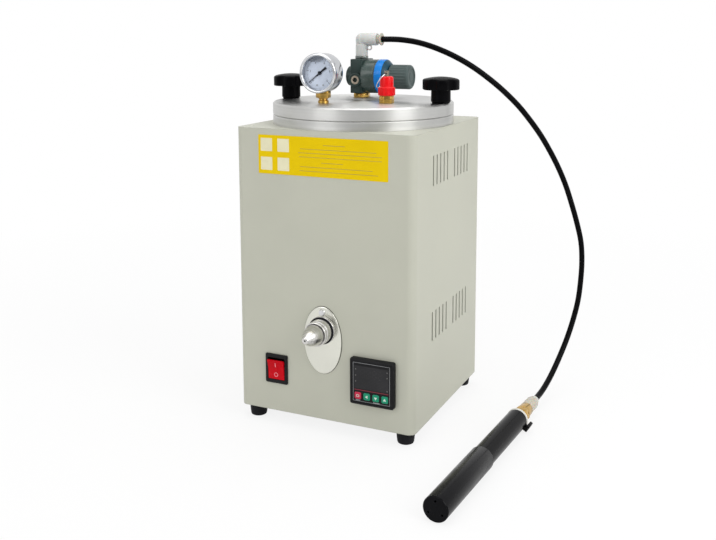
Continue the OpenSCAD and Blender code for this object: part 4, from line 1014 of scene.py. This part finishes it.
# %% Nozzle
NOZZLE = at(0, 0, 110, TO_FRONT)
keep(turned_piece("nozzle_valve_collar", [
    (3, 77), (8, 77), (8, 90), (10, 90), (10, 101.5), (14.1, 101.5), (14.5, 101.9),
    (14.5, 103.1), (14.2, 103.6), (13.4, 103.8), (12.7, 104.2), (12.5, 104.8), (12.5, 112.3),
    (12.2, 112.8), (11.5, 113.0), (11.3, 113.3), (11.3, 114.2), (11.5, 114.5), (12.2, 114.7),
    (12.5, 115.2), (12.5, 117.2), (12.3, 117.7), (11.7, 118.0), (11.1, 117.8), (10.9, 117.3),
    (10.9, 112.5), (6.05, 112.5), (6.05, 91), (3, 91),
], nickel, NOZZLE, steps=96, edge=0, smooth=55), "root", "nozzle_chrome", "nozzle_valve")
keep(turned_piece("nozzle_seal", [
    (12.3, 103.4), (14.0, 103.4), (14.2, 103.8), (14.1, 104.6), (13.5, 105.2), (12.3, 105.4),
], rubber, NOZZLE, steps=72, edge=0, smooth=60), "root", "black_rubber")
keep(turned_piece("nozzle_tip_cone", [
    (5.9, 97), (5.9, 117.4), (10.3, 117.4), (10.6, 117.8), (10.6, 119.6), (10.5, 120.8),
    (10.2, 122.6), (9.7, 124.9), (8.9, 127.6), (7.9, 130.2), (6.7, 132.6), (5.4, 134.9),
    (4.3, 136.9), (3.6, 138.3), (3.2, 139.0), (2.6, 139.45), (1.3, 139.5), (0.95, 139.2),
    (0.9, 138.6), (0.9, 125), (2.2, 125), (2.2, 97),
], nickel, NOZZLE, steps=96, edge=0, smooth=55), "nozzle_tip", "nozzle_chrome", "nozzle_tip")

# %% Shrunk outlines and frames
def shrunk(outline, by):
    """Pulls every point towards the middle by the same distance."""
    inner = []
    for x, y in outline:
        length = hypot(x, y)
        inner.append((x * (length - by) / length, y * (length - by) / length))
    return inner


def add_frame(bm, outline, inset, low, high):
    """A flat outline with an equal opening, such as a printed line that runs round."""
    inner = shrunk(outline, inset)
    loft(bm, [raised(outline, low), raised(outline, high), raised(inner, high),
              raised(inner, low)], closed=True)

# %% Splash plate
PLATE_W = 43
PLATE_H = 71
PLATE_STEPS = 96
PLATE = at(0, 0, 99, TO_FRONT)
oval = [(PLATE_W / 2 * cos(2 * pi * k / PLATE_STEPS), PLATE_H / 2 * sin(2 * pi * k / PLATE_STEPS))
        for k in range(PLATE_STEPS)]
bm = bmesh.new()
loft(bm, [raised(shrunk(oval, 0.2), 100.0), raised(oval, 100.25), raised(oval, 100.9),
          raised(shrunk(oval, 0.25), 101.25), raised(shrunk(oval, 0.8), 101.45),
          raised(shrunk(oval, 1.6), 101.5), raised(shrunk(oval, 6), 101.5)])
keep(finish_mesh(bm, "splash_plate_oval", plate_polish, PLATE, smooth=60),
     "root", "polished_steel", "splash_plate")
# A thin black rim juts 0.35 mm past the plate's edge: painted shadow, the dark outline where the
# plate meets the cabinet.
bm = bmesh.new()
add_frame(bm, shrunk(oval, -0.35), 2.35, 100.02, 100.25)
keep(finish_mesh(bm, "splash_plate_painted_shadow", rubber, PLATE), "root", "black_rubber")

# %% [markdown]
# ## Power switch
#
# A standard rocker switch snaps into the front: a black bezel and a red rocker with the two
# usual marks. The rocker is a shallow V in profile, and it is drawn at rest with its lower end
# pressed in. It is extruded along its pivot.

# %% Switch
SWITCH_X = -54.5
SWITCH_Z = 60.2
bm = bmesh.new()
outer = round_outline(26, 31.5, 1.4)
inner = round_outline(19.5, 23.3, 0.8)
loft(bm, [raised(outer, 100), raised(outer, 101.4), raised(shrunk(outer, 0.35), 101.85),
          raised(shrunk(outer, 0.8), 102.0), raised(shrunk(inner, -0.5), 102.0),
          raised(inner, 101.6), raised(inner, 100)], closed=True)
body_outline = round_outline(21, 27, 0.6)
loft(bm, [raised(body_outline, 78), raised(body_outline, 100), raised(inner, 100),
          raised(inner, 90), raised(shrunk(inner, 7), 90), raised(shrunk(inner, 7), 78)],
     closed=True)
add_box(bm, (-8, -8, 84), (8, 8, 90))
keep(finish_mesh(bm, "switch_bezel", case_black, at(SWITCH_X, 0, SWITCH_Z, TO_FRONT)), "root",
     "switch_black", "switch_frame")

# %% Rocker and its marks
ROCKER_TILT = Matrix.Rotation(radians(8), 4, "X")
ROCKER = at(SWITCH_X, -98.5, SWITCH_Z) @ ROCKER_TILT @ TO_RIGHT
ROCKER_HALF = 10.7
bm = bmesh.new()
add_slab(bm, [(-10.7, -5.2), (0, -4.2), (10.7, -5.2), (10.7, -3.2), (4, 4.5), (-4, 4.5),
              (-10.7, -3.2)], -9.4, 9.4)
soften(bm, 0.55, 3, 20)
spin(bm, [(0, -10.4), (1.5, -10.4), (1.5, 10.4), (0, 10.4)], 24)
keep(finish_mesh(bm, "switch_rocker_red", rocker_red, ROCKER), "rocker", "rocker_red",
     "switch_rocker")
ROCKER_SLOPE = atan2(1.0, ROCKER_HALF)
for mark, reach in (("rocker_mark_on", -5.5), ("rocker_mark_off", 5.5)):
    level = -5.2 + (ROCKER_HALF - abs(reach)) / ROCKER_HALF
    slope = ROCKER_SLOPE if reach < 0 else -ROCKER_SLOPE
    place = ROCKER @ at(reach, level, 0, Matrix.Rotation(slope, 4, "Z")) @ TO_FRONT
    bm = bmesh.new()
    if reach < 0:
        add_slab(bm, round_outline(5.0, 0.9, 0.2, 2), -0.1, 0.05)
    else:
        add_frame(bm, round_outline(4.8, 4.8, 2.399, 8), 0.75, -0.1, 0.05)
    keep(finish_mesh(bm, mark, mark_pale, place), "rocker")

# %% [markdown]
# ## Temperature controller
#
# The controller is a standard 48 mm panel instrument: an etched black bezel, a face with a
# dark window, a thin printed frame, one red rule, small indicator lamps, and four keys. The
# lamps and the digits are off. The arrows on the keys are the usual ones.

# %% Controller: case, frame lines, window
CONTROL = at(56.8, 0, 63.5, TO_FRONT)
bm = bmesh.new()
square = {size: round_outline(size, size, radius, 6) for size, radius in (
    (48, 2.2), (47.3, 2.0), (46.2, 1.8), (43.2, 0.8), (42.8, 0.6))}
loft(bm, [raised(square[48], 100), raised(square[48], 104.9), raised(square[47.3], 105.7),
          raised(square[46.2], 106.4), raised(shrunk(square[46.2], 0.3), 106.5),
          raised(square[43.2], 106.5), raised(square[42.8], 106.2),
          raised(square[42.8], 104.0)], closed=True)
add_box(bm, (-22.4, -22.4, 32), (22.4, 22.4, 104.2))
keep(finish_mesh(bm, "controller_bezel", case_black, CONTROL), "root", "controller_black",
     "controller_case")
keep(soft_box("controller_plate", (-21.3, -21.3, 104.3), (21.3, 21.3, 105.9), 0.15, 1,
              case_black, CONTROL), "root", "controller_black", "controller_face")
keep(soft_box("controller_glass", (-19, -7, 105.2), (19, 17, 105.98), 0.15, 1, window_dark,
              CONTROL), "root", "window_tint", "controller_window")
FACE = 105.9
bm = bmesh.new()
add_frame(bm, round_outline(40.2, 40.2, 0.4, 2), 0.45, FACE - 0.1, FACE + 0.05)
for x, y, w, h in ((-14.7, -19.0, 4.6, 0.7), (5.5, -19.2, 7.0, 0.7)):
    add_box(bm, (x - w / 2, y - h / 2, FACE - 0.1), (x + w / 2, y + h / 2, FACE + 0.04))
keep(finish_mesh(bm, "controller_lines", print_grey, CONTROL), "root")
bm = bmesh.new()
add_box(bm, (-18.6, -8.6, FACE - 0.1), (18.6, -7.9, FACE + 0.05))
keep(finish_mesh(bm, "controller_rule", print_red, CONTROL), "root")

# %% Controller: lamps and digits
bm = bmesh.new()
for x, heights in ((-17.2, (13.1, 6.7, 0.5)), (17.2, (14.0, 8.4, -5.2))):
    for y in heights:
        add_disc(bm, x, y, FACE - 0.05, FACE + 0.25, 0.75, 0.6, 16)
keep(finish_mesh(bm, "controller_lamps", lamp_off, CONTROL), "root")


def seven_segments(bm, x, y, width, height, bar, low, high):
    """All seven bars of one unlit digit."""
    for across, up in ((0, height / 2), (0, 0), (0, -height / 2)):
        add_box(bm, (x + across - width / 2 + bar, y + up - bar / 2, low),
                (x + across + width / 2 - bar, y + up + bar / 2, high))
    for across in (-width / 2, width / 2):
        for up in (height / 4, -height / 4):
            add_box(bm, (x + across - bar / 2, y + up - height / 4 + bar, low),
                    (x + across + bar / 2, y + up + height / 4 - bar, high))


bm = bmesh.new()
for k in range(4):
    seven_segments(bm, -9.6 + 6.4 * k, 9.6, 4.0, 8.0, 0.8, FACE, FACE + 0.1)
    seven_segments(bm, -7.8 + 5.2 * k, -1.4, 3.2, 6.0, 0.65, FACE, FACE + 0.1)
keep(finish_mesh(bm, "controller_digits", digit_off, CONTROL), "root")

# %% Controller: keys
KEY_TOP = 106.72
FIRST_KEY_X = -14.7
KEY_PITCH = 9.8
KEY_ROW_Y = -14.3
ARROW = [(1.7, 0), (-1.1, 1.7), (-1.1, -1.7)]
arrow_turns = {"shift": 180, "down": 270, "up": 90}
cap_outline = round_outline(7.2, 7.2, 1.5, 5)
for index, key in enumerate(("set", "shift", "down", "up")):
    place = CONTROL @ at(FIRST_KEY_X + KEY_PITCH * index, KEY_ROW_Y, 0)
    bm = bmesh.new()
    loft(bm, [raised(cap_outline, 102.9), raised(cap_outline, 106.2),
              raised(shrunk(cap_outline, 0.3), 106.55), raised(shrunk(cap_outline, 0.8), 106.7),
              raised(shrunk(cap_outline, 3.0), 106.62)])
    cap = finish_mesh(bm, key + "_key_cap", key_red if key == "set" else key_green, place)
    keep(cap, key + "_key", "key_red" if key == "set" else "key_green", key + "_key")
    bm = bmesh.new()
    if key == "set":
        add_frame(bm, round_outline(3.4, 2.6, 1.0, 4), 0.5, KEY_TOP - 0.22, KEY_TOP)
    else:
        a = radians(arrow_turns[key])
        add_slab(bm, [(x * cos(a) - y * sin(a), x * sin(a) + y * cos(a)) for x, y in ARROW],
                 KEY_TOP - 0.22, KEY_TOP)
    keep(finish_mesh(bm, key + "_key_mark", key_mark, place), key + "_key")

# %% [markdown]
# ## Sticker and feet
#
# The yellow film on the front is left blank: its four pale fields and its lines stand where
# the print was, without any sign or word. The feet are moulded rubber with a screw up
# through each.

# %% Sticker
STICKER = at(0, 0, 287.5, TO_FRONT)
FRONT = 100.0
bm = bmesh.new()
add_slab(bm, round_outline(145, 40, 0.8, 3), FRONT, FRONT + 0.22)
keep(finish_mesh(bm, "sticker_film_yellow", sticker_yellow, STICKER), "root", "sticker_yellow",
     "front_sticker")
bm = bmesh.new()
for x in (-63.0, -43.4):
    for y in (10.0, -9.4):
        add_slab(bm, shifted(round_outline(13.4, 13.4, 0.6, 3), x, y), FRONT + 0.1, FRONT + 0.26)
keep(finish_mesh(bm, "sticker_fields", sticker_pale, STICKER), "root")
bm = bmesh.new()
for y, left, right in ((12.2, 2, 26), (7.6, -24, 60), (3.6, -26, 66), (-0.4, -25, 66),
                       (-5.6, 0, 24), (-10.4, -24, 56), (-14.6, -25, 62)):
    add_box(bm, (left, y - 0.35, FRONT + 0.1), (right, y + 0.35, FRONT + 0.26))
keep(finish_mesh(bm, "sticker_rules", sticker_rule, STICKER), "root")

# %% Feet
FOOT_REACH = 86
FOOT = [(4.2, 0), (7.2, 0), (8.1, 0.5), (8.6, 1.6), (9.2, 6.5), (9.5, 11.8), (9.5, 13.4),
        (9.1, 14.0), (2.05, 14.0), (2.05, 5), (4.2, 5)]
bm = bmesh.new()
for x in (-FOOT_REACH, FOOT_REACH):
    for y in (-FOOT_REACH, FOOT_REACH):
        foot_bm = bmesh.new()
        spin(foot_bm, FOOT, 48)
        bmesh.ops.translate(foot_bm, vec=(x, y, 0), verts=foot_bm.verts)
        loose = bpy.data.meshes.new("foot")
        foot_bm.to_mesh(loose)
        foot_bm.free()
        bm.from_mesh(loose)
        bpy.data.meshes.remove(loose)
keep(finish_mesh(bm, "rubber_feet_moulded", rubber, smooth=40), "root", "black_rubber",
     "rubber_feet")

# %% [markdown]
# ## Floor, backdrop and light
#
# The machine stands on a white sweep under broad, soft light that comes mostly from above and
# from the right, so that the side is a little lighter than the front. The floor keeps a faint
# shadow. The world is white where the camera, a mirror or glass looks at it, with a darker
# side behind the camera, because polished metal needs something dark to show its shape.

# %% Floor
FLOOR_REACH = 6
FLOOR_GAP = 0.0005
GLOW_NEAR = 0.84
GLOW_FAR = 1.0
GLOW_START = 0.35
GLOW_END = 1.1
floor_bm = bmesh.new()
bmesh.ops.create_grid(floor_bm, x_segments=1, y_segments=1, size=FLOOR_REACH)
floor_mesh = bpy.data.meshes.new("floor")
floor_bm.to_mesh(floor_mesh)
floor_bm.free()
floor = put("floor", floor_mesh)
floor.location.z = -FLOOR_GAP

floor_paint = bpy.data.materials.new("floor_paint")
floor_paint.use_nodes = True
floor_tree = floor_paint.node_tree
floor_tree.nodes.clear()
matt = node(floor_tree, "ShaderNodeBsdfDiffuse", {"Color": (0.86, 0.86, 0.86, 1)})
glow = node(floor_tree, "ShaderNodeEmission", {"Color": (1, 1, 1, 1), "Strength": 1.0})
seen = floor_tree.nodes.new("ShaderNodeLightPath")
# The camera and glass see the floor glow, and mirrors see half of it. Other rays, such as soft
# light that bounces, see the matt paint.
mirrored_share = maths(floor_tree, "MULTIPLY", seen.outputs["Is Glossy Ray"], 0.5)
any_seen = maths(floor_tree, "MAXIMUM", seen.outputs["Is Camera Ray"], mirrored_share)
any_seen = maths(floor_tree, "MAXIMUM", any_seen, seen.outputs["Is Transmission Ray"])
spot = floor_tree.nodes.new("ShaderNodeTexCoord").outputs["Object"]
away = vector_maths(floor_tree, "LENGTH", spot)
share = maths(floor_tree, "MULTIPLY", any_seen,
              spread(floor_tree, away, GLOW_NEAR, GLOW_FAR, GLOW_START, GLOW_END))
mixed = node(floor_tree, "ShaderNodeMixShader", {0: share, 1: matt.outputs[0],
                                                 2: glow.outputs[0]})
node(floor_tree, "ShaderNodeOutputMaterial", {"Surface": mixed.outputs[0]})
floor_mesh.materials.append(floor_paint)
print("floor, metres across:", 2 * FLOOR_REACH)

# %% World
FILL = 0.62
TOWARD_CAMERA = (0.42, -0.907, 0)
BRIGHT_SIDE = 0.92
DARK_SIDE = 0.25
world = bpy.data.worlds.new("studio")
bpy.context.scene.world = world
world.use_nodes = True
world_tree = world.node_tree
world_tree.nodes.clear()
look = world_tree.nodes.new("ShaderNodeTexCoord").outputs["Generated"]
direction = node(world_tree, "ShaderNodeSeparateXYZ", {0: look})
toward_camera = vector_maths(world_tree, "DOT_PRODUCT", look, TOWARD_CAMERA)
behind = spread(world_tree, toward_camera, BRIGHT_SIDE, DARK_SIDE, 0.78, 0.97)
above = spread(world_tree, direction.outputs["Z"], 0.0, 1.0, 0.35, 0.75)
mirrored = maths(world_tree, "MAXIMUM", behind, above)
rays = world_tree.nodes.new("ShaderNodeLightPath")
for_glossy = node(world_tree, "ShaderNodeMix", {2: 1.0, 3: mirrored}, data_type="FLOAT")
world_tree.links.new(rays.outputs["Is Glossy Ray"], for_glossy.inputs[0])
seen_sky = maths(world_tree, "MAXIMUM", rays.outputs["Is Camera Ray"],
                 rays.outputs["Is Glossy Ray"])
seen_sky = maths(world_tree, "MAXIMUM", seen_sky, rays.outputs["Is Transmission Ray"])
strength = node(world_tree, "ShaderNodeMix", {2: FILL}, data_type="FLOAT")
world_tree.links.new(seen_sky, strength.inputs[0])
world_tree.links.new(for_glossy.outputs[0], strength.inputs[3])
sky = node(world_tree, "ShaderNodeBackground", {"Color": (1, 1, 1, 1),
                                                "Strength": strength.outputs[0]})
node(world_tree, "ShaderNodeOutputWorld", {"Surface": sky.outputs[0]})
print("world's share in the light on dull surfaces:", FILL)

# %% Lamps
LAMPS = (
    ("lamp_right", (1.9, -0.5, 1.3), (0, 0, 0.2), (1.2, 1.4), 20),
    ("lamp_front", (-0.9, -2.0, 1.3), (0, 0, 0.2), (1.2, 1.2), 9.5),
    ("lamp_top", (0.1, 0.2, 2.0), (0, 0, 0.3), (1.6, 1.6), 14),
)
for name, place, target, size, watts in LAMPS:
    data = bpy.data.lights.new(name, "AREA")
    data.shape = "RECTANGLE"
    data.size, data.size_y = size
    data.energy = watts
    lamp = put(name, data)
    lamp.location = place
    aim = Vector(target) - Vector(place)
    lamp.rotation_euler = aim.to_track_quat("-Z", "Y").to_euler()
print("lamps:", len(LAMPS))
